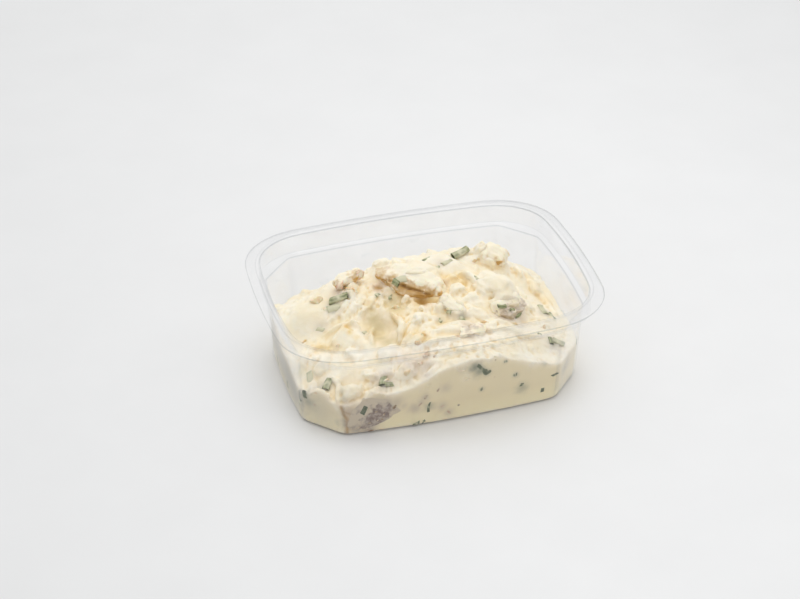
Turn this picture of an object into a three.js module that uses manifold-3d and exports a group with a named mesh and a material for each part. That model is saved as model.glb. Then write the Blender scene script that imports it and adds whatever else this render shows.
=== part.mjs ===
// Eel salad in a clear deli tub: a thermoformed tub with a rounded rim and an eight-sided body,
// a heap of creamy salad, and the larger pieces of smoked eel that lie on it or show at its side.
// Millimetres, +Z up. The origin is the middle of the tub's base, and +X runs along the tub.
import * as THREE from "three";
import { mergeVertices } from "three/addons/utils/BufferGeometryUtils.js";
import Module from "manifold-3d";

// Driving dimensions of the tub
const TUB_LENGTH = 108;
const TUB_WIDTH = 81;
const TUB_HEIGHT = 34.8;
const WALL = 0.6;
const FLANGE_WIDTH = 4.7;
const SKIRT_WIDTH = 3;
const SKIRT_DROP = 1;
const SHOULDER_HEIGHT = 27.5;
const LEDGE_WIDTH = 2;
const LEDGE_RISE = 0.3;
const BODY_DRAFT = 1.2;
const BASE_EDGE = 1;
const RIM_CORNER = [19.2, 16.9];
const MOUTH_CORNER = [15.7, 13.8];
const BODY_CHAMFER = [9.2, 10.2];
const RIM_BOW = [2.8, 2.8];
const BODY_BOW = [2.1, 2.6];
const ROUND = 2.25;
const FLAT = 1;
const SIDE_STEPS = 7;
const CORNER_STEPS = 6;

// Driving dimensions of the salad
const CLEARANCE = 0.3;
const HEAP_RINGS = 18;
const HEAP_BLUR = 4;
const KNOLLS = 60;
const KNOLL_RADIUS = [2.6, 5.5];
const KNOLL_HEIGHT = [-1.3, 1.6];
const KNOLL_MARGIN = 5;
const CHIVE_DIAMETER = 2.1;
const CHIVE_SIDES = 7;

// Colours of the real things
const CLEAR_PLASTIC = new THREE.MeshStandardMaterial({
  color: 0xe9eeee, roughness: 0.08, metalness: 0, transparent: true, opacity: 0.25,
});
const CREAM = new THREE.MeshStandardMaterial({ color: 0xf3e6c4, roughness: 0.35, metalness: 0 });
const EEL = new THREE.MeshStandardMaterial({ color: 0xb59a78, roughness: 0.45, metalness: 0 });
const SKINNED_EEL = new THREE.MeshStandardMaterial({ color: 0x8c8272, roughness: 0.4, metalness: 0 });

const wasm = await Module();
wasm.setup();

// A repeatable source of random numbers between 0 and 1
function randomFrom(seed) {
  let state = seed;
  return () => {
    state = (state + 0x6d2b79f5) | 0;
    let t = Math.imul(state ^ (state >>> 15), 1 | state);
    t = (t + Math.imul(t ^ (t >>> 7), 61 | t)) ^ t;
    return ((t ^ (t >>> 14)) >>> 0) / 4294967296;
  };
}

// One level of the tub's outline, as points anticlockwise from the middle of the +X side.
// The corners are round or flat, and each side bows outwards between them.
function outlinePoints({ halfLength, halfWidth, corner, shape, bow }) {
  const [bowX, bowY] = bow;
  const [cornerX, cornerY] = corner;
  const a = halfLength - bowX;
  const b = halfWidth - bowY;
  const quarter = [];
  for (let i = 0; i < SIDE_STEPS; i++) quarter.push([a, ((b - cornerY) * i) / SIDE_STEPS]);
  for (let i = 0; i <= CORNER_STEPS; i++) {
    const turn = (Math.PI / 2) * (i / CORNER_STEPS);
    const alongX = shape === FLAT ? 1 - i / CORNER_STEPS : Math.abs(Math.cos(turn)) ** (2 / shape);
    const alongY = shape === FLAT ? i / CORNER_STEPS : Math.abs(Math.sin(turn)) ** (2 / shape);
    quarter.push([a - cornerX + cornerX * alongX, b - cornerY + cornerY * alongY]);
  }
  for (let i = 1; i < SIDE_STEPS; i++) quarter.push([(a - cornerX) * (1 - i / SIDE_STEPS), b]);
  const around = [];
  around.push(...quarter, [0, b]);
  around.push(...quarter.slice(1).reverse().map(([x, y]) => [-x, y]));
  around.push(...quarter.map(([x, y]) => [-x, -y]), [0, -b]);
  around.push(...quarter.slice(1).reverse().map(([x, y]) => [x, -y]));
  const bowed = (along, half) => 1 - Math.min(1, (along / half) ** 2);
  return around.map(([x, y]) => [
    x * (1 + (bowX / a) * bowed(y, b)),
    y * (1 + (bowY / b) * bowed(x, a)),
  ]);
}

// A closed surface through rings of points, each end closed by a fan to its own centre point
function closedThroughRings(rings, firstCentre, lastCentre) {
  const count = rings[0].length;
  const positions = [...rings.flat(), firstCentre, lastCentre].flat();
  const first = rings.length * count;
  const last = first + 1;
  const index = [];
  for (let i = 0; i < count; i++) {
    const next = (i + 1) % count;
    index.push(first, next, i);
    for (let ring = 0; ring + 1 < rings.length; ring++) {
      const low = ring * count;
      const high = low + count;
      index.push(low + i, low + next, high + next, low + i, high + next, high + i);
    }
    const top = (rings.length - 1) * count;
    index.push(top + i, top + next, last);
  }
  const geometry = new THREE.BufferGeometry();
  geometry.setAttribute("position", new THREE.Float32BufferAttribute(positions, 3));
  geometry.setIndex(index);
  return geometry;
}

// A geometry, moved by a matrix, as a solid that can be joined and cut
function solidOf(geometry, matrix = new THREE.Matrix4()) {
  const bare = geometry.clone();
  bare.deleteAttribute("normal");
  bare.deleteAttribute("uv");
  bare.applyMatrix4(matrix);
  const merged = mergeVertices(bare, 1e-4);
  return new wasm.Manifold(
    new wasm.Mesh({
      numProp: 3,
      vertProperties: new Float32Array(merged.attributes.position.array),
      triVerts: new Uint32Array(merged.index.array),
    }),
  );
}

function geometryOf(solid) {
  const { numProp, vertProperties, triVerts } = solid.getMesh();
  const geometry = new THREE.BufferGeometry();
  const positions = [];
  for (let i = 0; i < vertProperties.length; i += numProp) {
    positions.push(...vertProperties.subarray(i, i + 3));
  }
  geometry.setAttribute("position", new THREE.Float32BufferAttribute(positions, 3));
  geometry.setIndex([...triVerts]);
  return geometry;
}

function namedMesh(name, geometry, material) {
  const mesh = new THREE.Mesh(geometry, material);
  mesh.name = name;
  return mesh;
}

// Half sizes of the tub's inner and outer faces
const mouthHalf = [TUB_LENGTH / 2 - FLANGE_WIDTH, TUB_WIDTH / 2 - FLANGE_WIDTH];
const shoulderHalf = mouthHalf.map((half) => half + WALL - LEDGE_WIDTH);
const baseHalf = shoulderHalf.map((half) => half - BODY_DRAFT);

// A ring of the body, inset from its outer face and tapering from the shoulder to the base
function bodyRing(z, inset) {
  const share = Math.min(1, z / SHOULDER_HEIGHT);
  const half = baseHalf.map((low, i) => low + (shoulderHalf[i] - low) * share - inset);
  return outlinePoints({
    halfLength: half[0], halfWidth: half[1], corner: BODY_CHAMFER, shape: FLAT, bow: BODY_BOW,
  });
}

function roundRing(half, inset, corner, bow) {
  return outlinePoints({
    halfLength: half[0] - inset, halfWidth: half[1] - inset, corner, shape: ROUND, bow,
  });
}

const atHeight = (points, z) => points.map(([x, y]) => [x, y, z]);

// The tub: a thin shell from the base up the outside, over the rim and down the inside
function tubGeometry() {
  const rimHalf = [TUB_LENGTH / 2, TUB_WIDTH / 2];
  const top = TUB_HEIGHT;
  const rings = [
    atHeight(bodyRing(0, BASE_EDGE), 0),
    atHeight(bodyRing(BASE_EDGE, 0), BASE_EDGE),
    atHeight(bodyRing(SHOULDER_HEIGHT, 0), SHOULDER_HEIGHT),
    atHeight(roundRing(mouthHalf, -WALL, MOUTH_CORNER, BODY_BOW), SHOULDER_HEIGHT + LEDGE_RISE),
    atHeight(roundRing(mouthHalf, -WALL, MOUTH_CORNER, RIM_BOW), top - WALL),
    atHeight(roundRing(rimHalf, SKIRT_WIDTH, RIM_CORNER, RIM_BOW), top - WALL),
    atHeight(roundRing(rimHalf, WALL / 4, RIM_CORNER, RIM_BOW), top - SKIRT_DROP - WALL),
    atHeight(roundRing(rimHalf, 0, RIM_CORNER, RIM_BOW), top - SKIRT_DROP),
    atHeight(roundRing(rimHalf, SKIRT_WIDTH, RIM_CORNER, RIM_BOW), top),
    atHeight(roundRing(mouthHalf, 0, MOUTH_CORNER, RIM_BOW), top),
    atHeight(roundRing(mouthHalf, 0, MOUTH_CORNER, BODY_BOW), SHOULDER_HEIGHT + LEDGE_RISE + WALL),
    atHeight(bodyRing(SHOULDER_HEIGHT, WALL), SHOULDER_HEIGHT + WALL),
    atHeight(bodyRing(BASE_EDGE + WALL, WALL), BASE_EDGE + WALL),
    atHeight(bodyRing(WALL, BASE_EDGE + WALL), WALL),
  ];
  return closedThroughRings(rings, [0, 0, 0], [0, 0, WALL]);
}

// The broad form of the heap: x, y and height of places along the walls and over the top
const HEAP_PLACES = [
  // along the front wall, from the left
  [-36, -31, 12], [-28, -32, 14], [-17, -33, 15], [-10, -33, 18], [-2, -34, 22.5],
  [6, -34, 23.7], [13, -33.5, 23], [20, -33, 20], [30, -32, 16.5], [38, -29, 13.5], [43, -22, 14],
  // along the right wall, the back wall and the left wall
  [46, -3, 14], [46, 8, 15], [45, 20, 15], [36, 31, 15],
  [22, 34, 17], [0, 34, 16], [-20, 34, 15], [-38, 30, 15],
  [-46, 13, 20], [-46, 0, 15], [-45, -19, 11.5],
  // along the ridge, which is nearer to the back wall
  [-36, 12, 23], [-22, 16, 27], [-8, 18, 29], [6, 19, 29.5], [19, 19, 30], [28, 17, 29], [37, 14, 21],
  // over the middle and the front
  [-36, -8, 18], [-22, -8, 22], [-6, -6, 25], [10, -6, 27], [24, -4, 27], [37, -6, 19],
  [-30, -22, 16], [-14, -22, 20], [2, -22, 25], [18, -20, 25], [32, -18, 19],
];

// The lumps and scooped hollows that show best
const HEAP_FORMS = [
  { x: -14, y: -7, radius: 6.5, height: -2.8 },
  { x: -21, y: 4, radius: 4.5, height: 1.8 },
  { x: -27, y: -7, radius: 4.5, height: 1.8 },
  { x: -9, y: -12.5, radius: 3, height: 1.4 },
  { x: 2, y: -13, radius: 4, height: -1.4 },
  { x: 20.5, y: -3.5, radius: 6, height: 2.2 },
  { x: 8, y: 12, radius: 7, height: 1 },
  { x: 30, y: 6, radius: 3.5, height: -1.5 },
];

// Small knolls and dips all over the heap, kept off the walls
function makeKnolls() {
  const random = randomFrom(11);
  const between = ([low, high]) => low + (high - low) * random();
  const reach = baseHalf.map((half) => half - KNOLL_MARGIN);
  return Array.from({ length: KNOLLS }, () => ({
    x: between([-reach[0], reach[0]]),
    y: between([-reach[1], reach[1]]),
    radius: between(KNOLL_RADIUS),
    height: between(KNOLL_HEIGHT),
  }));
}
const relief = [...HEAP_FORMS, ...makeKnolls()];

function heapHeight(x, y) {
  let sum = 0;
  let weights = 0;
  for (const [placeX, placeY, height] of HEAP_PLACES) {
    const weight = ((x - placeX) ** 2 + (y - placeY) ** 2 + HEAP_BLUR ** 2) ** -2;
    sum += weight * height;
    weights += weight;
  }
  return relief.reduce((total, form) => {
    const away = ((x - form.x) ** 2 + (y - form.y) ** 2) / form.radius ** 2;
    return total + form.height * Math.exp(-away);
  }, sum / weights);
}

// The salad's core: it fills the tub's body with a small gap and rises to the heap's surface
function heapGeometry() {
  const inset = WALL + CLEARANCE;
  const floor = WALL + CLEARANCE;
  const edge = bodyRing(SHOULDER_HEIGHT / 2, inset).map((middle, i) => {
    let [x, y] = middle;
    for (let pass = 0; pass < 4; pass++) [x, y] = bodyRing(heapHeight(x, y), inset)[i];
    return [x, y, heapHeight(x, y)];
  });
  const rings = [
    atHeight(bodyRing(floor, inset + BASE_EDGE), floor),
    atHeight(bodyRing(floor + BASE_EDGE, inset), floor + BASE_EDGE),
    edge,
  ];
  for (let ring = HEAP_RINGS - 1; ring > 0; ring--) {
    const share = ring / HEAP_RINGS;
    rings.push(edge.map(([x, y]) => [x * share, y * share, heapHeight(x * share, y * share)]));
  }
  return closedThroughRings(rings, [0, 0, floor], [0, 0, heapHeight(0, 0)]);
}

// A matrix that lays a piece on the heap at a heading in degrees, tilted with the slope there
function onHeap({ x, y, heading, lift, roll = 0 }) {
  const step = 1.5;
  const turn = THREE.MathUtils.degToRad(heading);
  const slopeX = (heapHeight(x + step, y) - heapHeight(x - step, y)) / (2 * step);
  const slopeY = (heapHeight(x, y + step) - heapHeight(x, y - step)) / (2 * step);
  const up = new THREE.Vector3(-slopeX, -slopeY, 1).normalize();
  const along = new THREE.Vector3(Math.cos(turn), Math.sin(turn), 0);
  along.addScaledVector(up, -along.dot(up)).normalize();
  const across = new THREE.Vector3().crossVectors(up, along);
  return new THREE.Matrix4()
    .makeBasis(along, across, up)
    .multiply(new THREE.Matrix4().makeRotationX(THREE.MathUtils.degToRad(roll)))
    .setPosition(x, y, heapHeight(x, y) + lift);
}

// A torn piece of fish: a flattened, rounded block with an uneven outline, bent along its length
function fishPieceGeometry({ length, width, thickness, seed, bend = 0, faces = 3 }, grow = 0) {
  const random = randomFrom(seed);
  const waves = Array.from({ length: 3 }, () => [1.5 + 2 * random(), 6.28 * random(), 6.28 * random()]);
  const ball = new THREE.IcosahedronGeometry(1, faces);
  ball.deleteAttribute("normal");
  ball.deleteAttribute("uv");
  const piece = mergeVertices(ball, 1e-4);
  const place = piece.attributes.position;
  const half = [length / 2 + grow, width / 2 + grow, thickness / 2 + grow];
  const squared = (value) => Math.sign(value) * Math.abs(value) ** 0.72;
  for (let i = 0; i < place.count; i++) {
    const [x, y, z] = [place.getX(i), place.getY(i), place.getZ(i)];
    const uneven = waves.reduce(
      (total, [rate, phaseX, phaseY]) => total + 0.055 * Math.sin(rate * 2 * x + phaseX + rate * y + phaseY),
      1,
    );
    const along = squared(x) * half[0] * uneven;
    const across = squared(y) * half[1] * uneven;
    place.setXYZ(i, along, across, squared(z) * half[2] - bend * squared(x) ** 2);
  }
  return piece;
}

// The larger pieces of smoked eel, each with its place on the heap and its size
const EEL_PIECES = [
  { name: "eel_fillet", x: -2.6, y: 7.8, heading: -43, lift: 1.1, length: 26, width: 10.5, thickness: 4.8,
    bend: 1.2, seed: 21, material: EEL },
  { name: "eel_strip", x: 6.6, y: -7.6, heading: -62, lift: -0.2, length: 9.5, width: 4.6, thickness: 3,
    bend: 0.5, seed: 22, material: EEL },
  { name: "eel_skinned", x: 26.2, y: -10.6, heading: 24, lift: 0.6, length: 13.5, width: 7.5, thickness: 4.2,
    bend: 0.8, roll: -8, seed: 23, material: SKINNED_EEL },
  { name: "eel_back", x: 29, y: 14.5, heading: -30, lift: 0.4, length: 10.5, width: 7.5, thickness: 5,
    bend: 0.4, seed: 24, material: EEL },
  { name: "eel_left", x: -20.6, y: 15.6, heading: 28, lift: 0.5, length: 12, width: 5, thickness: 4,
    bend: 0.6, seed: 25, material: EEL },
  { name: "eel_front", x: 10.6, y: -20.6, heading: 10, lift: 0.1, length: 10, width: 5, thickness: 2.6,
    bend: 0.4, seed: 26, material: SKINNED_EEL },
];

// The piece of eel that shows through the front wall, flat against it
const WINDOW_EEL = {
  name: "eel_window", x: -25, z: 8, tilt: 22, length: 17, width: 11.5, thickness: 4, seed: 27,
  material: SKINNED_EEL,
};

function windowMatrix() {
  const behindWall = WALL + CLEARANCE + WINDOW_EEL.thickness / 2 + 0.4;
  const wallAtPiece = bodyRing(WINDOW_EEL.z, 0)
    .filter(([, y]) => y < 0)
    .reduce((near, point) =>
      Math.abs(point[0] - WINDOW_EEL.x) < Math.abs(near[0] - WINDOW_EEL.x) ? point : near);
  return new THREE.Matrix4()
    .makeRotationX(Math.PI / 2)
    .multiply(new THREE.Matrix4().makeRotationZ(THREE.MathUtils.degToRad(WINDOW_EEL.tilt)))
    .setPosition(WINDOW_EEL.x, wallAtPiece[1] + behindWall, WINDOW_EEL.z);
}

// Smaller bits of eel that are one with the heap
const EEL_BITS = [
  { x: 24.5, y: 19, heading: 40, lift: 1, length: 5.5, width: 4, thickness: 4, seed: 31 },
  { x: -33.2, y: 12, heading: 20, lift: 0.8, length: 4.5, width: 3.4, thickness: 3, seed: 32 },
  { x: -22.4, y: 9.6, heading: -40, lift: 0.8, length: 4.5, width: 2.8, thickness: 2.6, seed: 33 },
  { x: -10.4, y: -2.4, heading: 15, lift: 0.7, length: 6.5, width: 4.4, thickness: 3, seed: 34 },
  { x: 36.8, y: 9.6, heading: -75, lift: 0.7, length: 7, width: 3.2, thickness: 3, seed: 35 },
  { x: 18.5, y: 3.5, heading: -20, lift: 0.6, length: 9, width: 6, thickness: 3.6, seed: 36 },
  { x: -27.5, y: -19, heading: 10, lift: 0.6, length: 7, width: 5, thickness: 3, seed: 37 },
  { x: -16, y: 27, heading: 30, lift: 0.6, length: 7, width: 5, thickness: 3.4, seed: 38 },
  { x: 12, y: 29, heading: -15, lift: 0.6, length: 8, width: 5, thickness: 3.4, seed: 39 },
];

// The cut chives that show best, and more of them scattered over the rest of the heap
const CHIVES = [
  { x: 17.6, y: 19, heading: 25, length: 6.5 },
  { x: -26.6, y: 8.4, heading: 18, length: 6 },
  { x: -27.6, y: 5, heading: 22, length: 4.5 },
  { x: -4.2, y: 10.4, heading: 60, length: 4 },
  { x: 7.2, y: 18, heading: 10, length: 4 },
  { x: 11, y: 12.5, heading: 30, length: 4 },
  { x: 38.2, y: -5.5, heading: -55, length: 5 },
  { x: 37.6, y: -11, heading: -50, length: 5 },
  { x: 20.6, y: -6.5, heading: -25, length: 4 },
  { x: 4.5, y: -10.8, heading: 40, length: 4 },
  { x: -14.6, y: 6.8, heading: 5, length: 3.6 },
  { x: -17, y: -12.5, heading: 70, length: 4 },
];
const SCATTERED_CHIVES = 12;

function scatteredChives() {
  const random = randomFrom(5);
  return Array.from({ length: SCATTERED_CHIVES }, (unused, i) => {
    const around = (2 * Math.PI * (i + random())) / SCATTERED_CHIVES;
    const out = 0.62 + 0.2 * random();
    return {
      x: Math.cos(around) * baseHalf[0] * out,
      y: Math.sin(around) * baseHalf[1] * out,
      heading: 180 * random(),
      length: 3.5 + 2 * random(),
    };
  });
}

function chiveGeometry(length) {
  const chive = new THREE.CylinderGeometry(
    CHIVE_DIAMETER / 2, CHIVE_DIAMETER / 2, length, CHIVE_SIDES,
  );
  return chive.rotateZ(Math.PI / 2).scale(1, 1, 0.8);
}

// Each large piece lies in a socket of the heap, a small gap wider than the piece all round
function saladMeshes() {
  const pieces = EEL_PIECES.map((piece) => ({ ...piece, matrix: onHeap(piece) }));
  pieces.push({ ...WINDOW_EEL, matrix: windowMatrix() });
  const sockets = pieces.map((piece) => solidOf(fishPieceGeometry(piece, CLEARANCE), piece.matrix));

  let heap = solidOf(heapGeometry());
  for (const bit of EEL_BITS) {
    heap = heap.add(solidOf(fishPieceGeometry({ ...bit, faces: 2 }), onHeap(bit)));
  }
  for (const chive of [...CHIVES, ...scatteredChives()]) {
    const chiveSolid = solidOf(chiveGeometry(chive.length), onHeap({ ...chive, lift: 0.35 }));
    const meetsPiece = sockets.some((socket) => !socket.intersect(chiveSolid).isEmpty());
    if (!meetsPiece) heap = heap.add(chiveSolid);
  }
  for (const socket of sockets) heap = heap.subtract(socket);
  const [core] = heap.decompose().sort((one, other) => other.volume() - one.volume());

  const meshes = [namedMesh("salad", geometryOf(core), CREAM)];
  for (const piece of pieces) {
    const mesh = namedMesh(piece.name, fishPieceGeometry(piece), piece.material);
    mesh.applyMatrix4(piece.matrix);
    meshes.push(mesh);
  }
  return meshes;
}

const eelSalad = new THREE.Group();
eelSalad.add(namedMesh("tub", tubGeometry(), CLEAR_PLASTIC));
eelSalad.add(...saladMeshes());

export default eelSalad;
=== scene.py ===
import math
import random

import bpy
import numpy as np
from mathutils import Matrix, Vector, noise
from mathutils.bvhtree import BVHTree


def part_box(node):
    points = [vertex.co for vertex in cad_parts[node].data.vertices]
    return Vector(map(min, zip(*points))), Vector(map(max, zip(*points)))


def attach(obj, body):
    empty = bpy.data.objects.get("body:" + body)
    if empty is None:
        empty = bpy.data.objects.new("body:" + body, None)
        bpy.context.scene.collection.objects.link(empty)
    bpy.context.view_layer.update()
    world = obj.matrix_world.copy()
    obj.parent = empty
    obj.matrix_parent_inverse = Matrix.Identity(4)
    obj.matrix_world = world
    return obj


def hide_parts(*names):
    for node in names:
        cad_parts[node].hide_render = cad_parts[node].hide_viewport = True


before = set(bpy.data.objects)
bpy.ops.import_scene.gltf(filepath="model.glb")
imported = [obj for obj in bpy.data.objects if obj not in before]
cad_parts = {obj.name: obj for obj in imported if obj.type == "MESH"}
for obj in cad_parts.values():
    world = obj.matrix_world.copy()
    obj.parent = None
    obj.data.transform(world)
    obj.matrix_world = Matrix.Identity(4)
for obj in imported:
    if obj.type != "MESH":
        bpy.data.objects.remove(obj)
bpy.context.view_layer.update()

MM = 0.001


# The view is one plain camera in front of the tub, a little to its left, looking down on it.
# Its lens takes in the tub and a wide margin of the floor.
VIEW_TURN = math.radians(-16.45)
VIEW_RISE = math.radians(33.55)
VIEW_DISTANCE = 723.5 * MM
VIEW_TARGET = Vector((2.35, 33.7, 3.1)) * MM
VIEW_LENS = 96.03
SENSOR_WIDTH = 36


def direction(turn, rise):
    """The unit vector from the object towards a viewer or a light at that turn and rise."""
    level = math.cos(rise)
    return Vector((math.sin(turn) * level, -math.cos(turn) * level, math.sin(rise)))


view_back = direction(VIEW_TURN, VIEW_RISE)
bpy.ops.object.camera_add(
    location=VIEW_TARGET + view_back * VIEW_DISTANCE,
    rotation=(-view_back).to_track_quat("-Z", "Y").to_euler(),
)
camera = bpy.context.object
camera.data.lens = VIEW_LENS
camera.data.sensor_width = SENSOR_WIDTH
bpy.context.scene.camera = camera


# The studio: a wide pale floor with painted light on it, a little darker far from the tub than near it, a
# pale surround that is brightest high up behind the tub and dimmer on its left, and a large soft lamp high
# up there.
FLOOR_SIZE = 3.0
FLOOR_NEAR_LIT = (0.84, 0.84, 0.84, 1)
FLOOR_FAR_DIM = (0.75, 0.75, 0.75, 1)
FLOOR_FADE = (0.08, 0.24)
FLOOR_STRETCH = (1.0, 0.6, 1.0)
LAMP_SIZE = 1.6
LAMP_DISTANCE = 2.2
LAMP_POWER = 8.0
LAMP_TURN = math.radians(188)
LAMP_RISE = math.radians(75)
LAMP_TINT = (1.0, 0.985, 0.96)
SURROUND_RANGE = (0.38, 1.14)
SURROUND_TINT = (0.985, 0.993, 1.0)
DIM_TURN = math.radians(-85)
DIM_RISE = math.radians(-10)
DIM_SHARE = 0.62
PAINTED_LIGHT_SPOT = Vector((65, -10, 0)) * MM


def srgb(red, green, blue):
    """A colour given as seen on screen, 0 to 255, as the linear values that shaders use."""
    seen = np.array([red, green, blue]) / 255
    linear = np.where(seen <= 0.04045, seen / 12.92, ((seen + 0.055) / 1.055) ** 2.4)
    return (*linear.tolist(), 1.0)


def shade(tree, kind, inputs=(), **settings):
    """Adds a shader node. An input is given a plain value, or the output that feeds it."""
    added = tree.nodes.new("ShaderNode" + kind)
    for name, value in settings.items():
        setattr(added, name, value)
    for name, value in dict(inputs).items():
        socket = added.inputs[name]
        if isinstance(value, bpy.types.NodeSocket):
            tree.links.new(value, socket)
        else:
            socket.default_value = value
    return added


def maths(tree, operation, *values):
    """One step of arithmetic on numbers."""
    return shade(tree, "Math", dict(enumerate(values)), operation=operation).outputs[0]


def vector_maths(tree, operation, *values, gives="Vector"):
    """One step of arithmetic on vectors, which gives a vector or a number."""
    return shade(tree, "VectorMath", dict(enumerate(values)), operation=operation).outputs[gives]


def new_material(name):
    """An empty node material, with its tree and each point's place on the piece."""
    made = bpy.data.materials.new(name)
    made.use_nodes = True
    tree = made.node_tree
    tree.nodes.clear()
    return made, tree, shade(tree, "TexCoord").outputs["Object"]


def cover(tree, shader):
    """Gives the material this shader as its surface."""
    shade(tree, "OutputMaterial", {"Surface": shader.outputs[0]})


def blend_colour(tree, share, first, second, how="MIX"):
    """A mix of two colours by a share from 0 to 1. Inputs 6 and 7 are the two colours."""
    return shade(tree, "Mix", {0: share, 6: first, 7: second}, data_type="RGBA", blend_type=how).outputs[2]


def spread(tree, value, low, high, start=0.0, end=1.0):
    """A value taken from the range low to high to the range start to end, and held there."""
    return shade(tree, "MapRange", {0: value, 1: low, 2: high, 3: start, 4: end}).outputs[0]


def grain(tree, place, size, detail=3.0, roughness=0.55, distortion=0.0):
    """Soft noise whose blotches are about that many millimetres wide."""
    inputs = {"Vector": place, "Scale": 1 / (size * MM), "Detail": detail, "Roughness": roughness,
              "Distortion": distortion}
    return shade(tree, "TexNoise", inputs).outputs["Fac"]


bpy.ops.mesh.primitive_plane_add(size=FLOOR_SIZE)
floor = bpy.context.object
floor.name = "floor"
floor_paint, tree, place = new_material("pale_floor")
# Painted light: the floor's colour is lighter round a spot near the tub and darker further out, like a pool
# of light.
away = vector_maths(tree, "SUBTRACT", place, PAINTED_LIGHT_SPOT)
reach = vector_maths(tree, "LENGTH", vector_maths(tree, "MULTIPLY", away, FLOOR_STRETCH), gives="Value")
floor_tone_and_light = blend_colour(tree, spread(tree, reach, *FLOOR_FADE), FLOOR_NEAR_LIT, FLOOR_FAR_DIM)
speckle = spread(tree, grain(tree, place, 30), 0.3, 0.7, 0.99, 1.01)
floor_tone_and_light = blend_colour(tree, 1.0, floor_tone_and_light, speckle, "MULTIPLY")
matt = {"Base Color": floor_tone_and_light, "Roughness": 0.8, "Specular IOR Level": 0.1}
cover(tree, shade(tree, "BsdfPrincipled", matt))
floor.data.materials.append(floor_paint)

lamp_back = direction(LAMP_TURN, LAMP_RISE)
bpy.ops.object.light_add(
    type="AREA",
    location=lamp_back * LAMP_DISTANCE,
    rotation=(-lamp_back).to_track_quat("-Z", "Y").to_euler(),
)
lamp = bpy.context.object
lamp.data.size = LAMP_SIZE
lamp.data.energy = LAMP_POWER
lamp.data.color = LAMP_TINT

surround = bpy.data.worlds.new("studio")
surround.use_nodes = True
tree = surround.node_tree
outwards = shade(tree, "TexCoord").outputs["Generated"]
facing = vector_maths(tree, "DOT_PRODUCT", outwards, lamp_back, gives="Value")
beside = vector_maths(tree, "DOT_PRODUCT", outwards, direction(DIM_TURN, DIM_RISE), gives="Value")
dome = spread(tree, facing, -0.4, 1.0, *SURROUND_RANGE)
dimmed = maths(tree, "MULTIPLY", dome, spread(tree, beside, 0.3, 0.9, 1.0, DIM_SHARE))
glow = tree.nodes["Background"]
glow.inputs["Color"].default_value = (*SURROUND_TINT, 1.0)
tree.links.new(dimmed, glow.inputs["Strength"])
bpy.context.scene.world = surround
bpy.context.scene.view_settings.view_transform = "Standard"


# The tub is thermoformed from one clear sheet: an eight-sided body with flat corners, a small
# ledge, a round-cornered mouth, and a flat rim whose outer part slopes down.
TUB_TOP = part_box("tub")[1]
RIM_HALF = np.array(TUB_TOP.xy) / MM
TUB_HEIGHT = TUB_TOP.z / MM
SHEET = 0.45
RIM_WIDTH = 4.7
RIM_SLOPE_WIDTH = 3.0
RIM_SLOPE_DROP = 1.0
LEDGE_WIDTH = 2.0
LEDGE_HEIGHT = 27.5
LEDGE_RISE = 0.3
LEDGE_GLOSS = 0.2
BODY_DRAFT = 1.2
BASE_EDGE = 1.0
RIM_CORNER = (19.2, 16.9)
MOUTH_CORNER = (15.7, 13.8)
BODY_CORNER = (9.2, 10.2)
RIM_BOW = (2.8, 2.8)
BODY_BOW = (2.1, 2.6)
ROUND = 2.25
FLAT = 1.0
SIDE_STEPS = 14
CORNER_STEPS = 14
# A marked edge's two close rings lie this far from it, in mm, or at most this share of the gap
EDGE_REACH = 0.35
EDGE_SHARE = 0.35
# How dark a line of painted shade each edge of the sheet draws, from 0 to 1, where clear plastic bends the
# light
BASE_LINE, BODY_LINE, LEDGE_LINE, MOUTH_LINE, CREASE_LINE, RIM_LINE = 1.0, 0.35, 0.5, 0.85, 0.3, 0.75
BACK_SHARE = 1 / 3
# Tones of the painted shade along the edges, darker on the tub's right side
EDGE_SHADE_TONE = srgb(204, 206, 208)
RIGHT_EDGE_SHADE_TONE = srgb(188, 190, 190)
RIGHT_SIDE = (36 * MM, 44 * MM)
MOUTH_HALF = RIM_HALF - RIM_WIDTH
LEDGE_HALF = MOUTH_HALF + SHEET - LEDGE_WIDTH
BASE_HALF = LEDGE_HALF - BODY_DRAFT


def tub_outline(half, corner, power, bow):
    """One level of the tub as points in mm, with round or flat corners and bowed sides."""
    straight = np.array(half) - bow
    quarter = [(straight[0], (straight[1] - corner[1]) * i / SIDE_STEPS) for i in range(SIDE_STEPS)]
    for i in range(CORNER_STEPS + 1):
        turn = math.pi / 2 * i / CORNER_STEPS
        if power == FLAT:
            along = np.array([1 - i / CORNER_STEPS, i / CORNER_STEPS])
        else:
            along = np.array([max(0, math.cos(turn)), math.sin(turn)]) ** (2 / power)
        quarter.append(tuple(straight - corner + np.array(corner) * along))
    for i in range(1, SIDE_STEPS):
        quarter.append(((straight[0] - corner[0]) * (1 - i / SIDE_STEPS), straight[1]))
    right = np.array(quarter)
    left = np.array([(0, straight[1]), *right[:0:-1]]) * (-1, 1)
    half_way = np.concatenate([right, left])
    points = np.concatenate([half_way, -half_way])
    points = (np.roll(points, 1, 0) + 2 * points + np.roll(points, -1, 0)) / 4
    bowed = 1 - np.clip(points[:, ::-1] / straight[::-1], -1, 1) ** 2
    return points * (1 + np.array(bow) / straight * bowed)


def body_outline(height, inset=0.0):
    share = min(1.0, max(0.0, height / LEDGE_HEIGHT))
    half = BASE_HALF + (LEDGE_HALF - BASE_HALF) * share - inset
    return tub_outline(half, BODY_CORNER, FLAT, BODY_BOW)


def ring(points, height):
    return np.column_stack([points, np.full(len(points), height)])


def select_only(piece):
    bpy.ops.object.select_all(action="DESELECT")
    piece.select_set(True)
    bpy.context.view_layer.objects.active = piece


def add_modifier(piece, kind, **settings):
    """Adds a modifier with those settings and applies it."""
    select_only(piece)
    made = piece.modifiers.new(kind.title(), kind)
    for name, value in settings.items():
        setattr(made, name, value)
    bpy.ops.object.modifier_apply(modifier=made.name)


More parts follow.
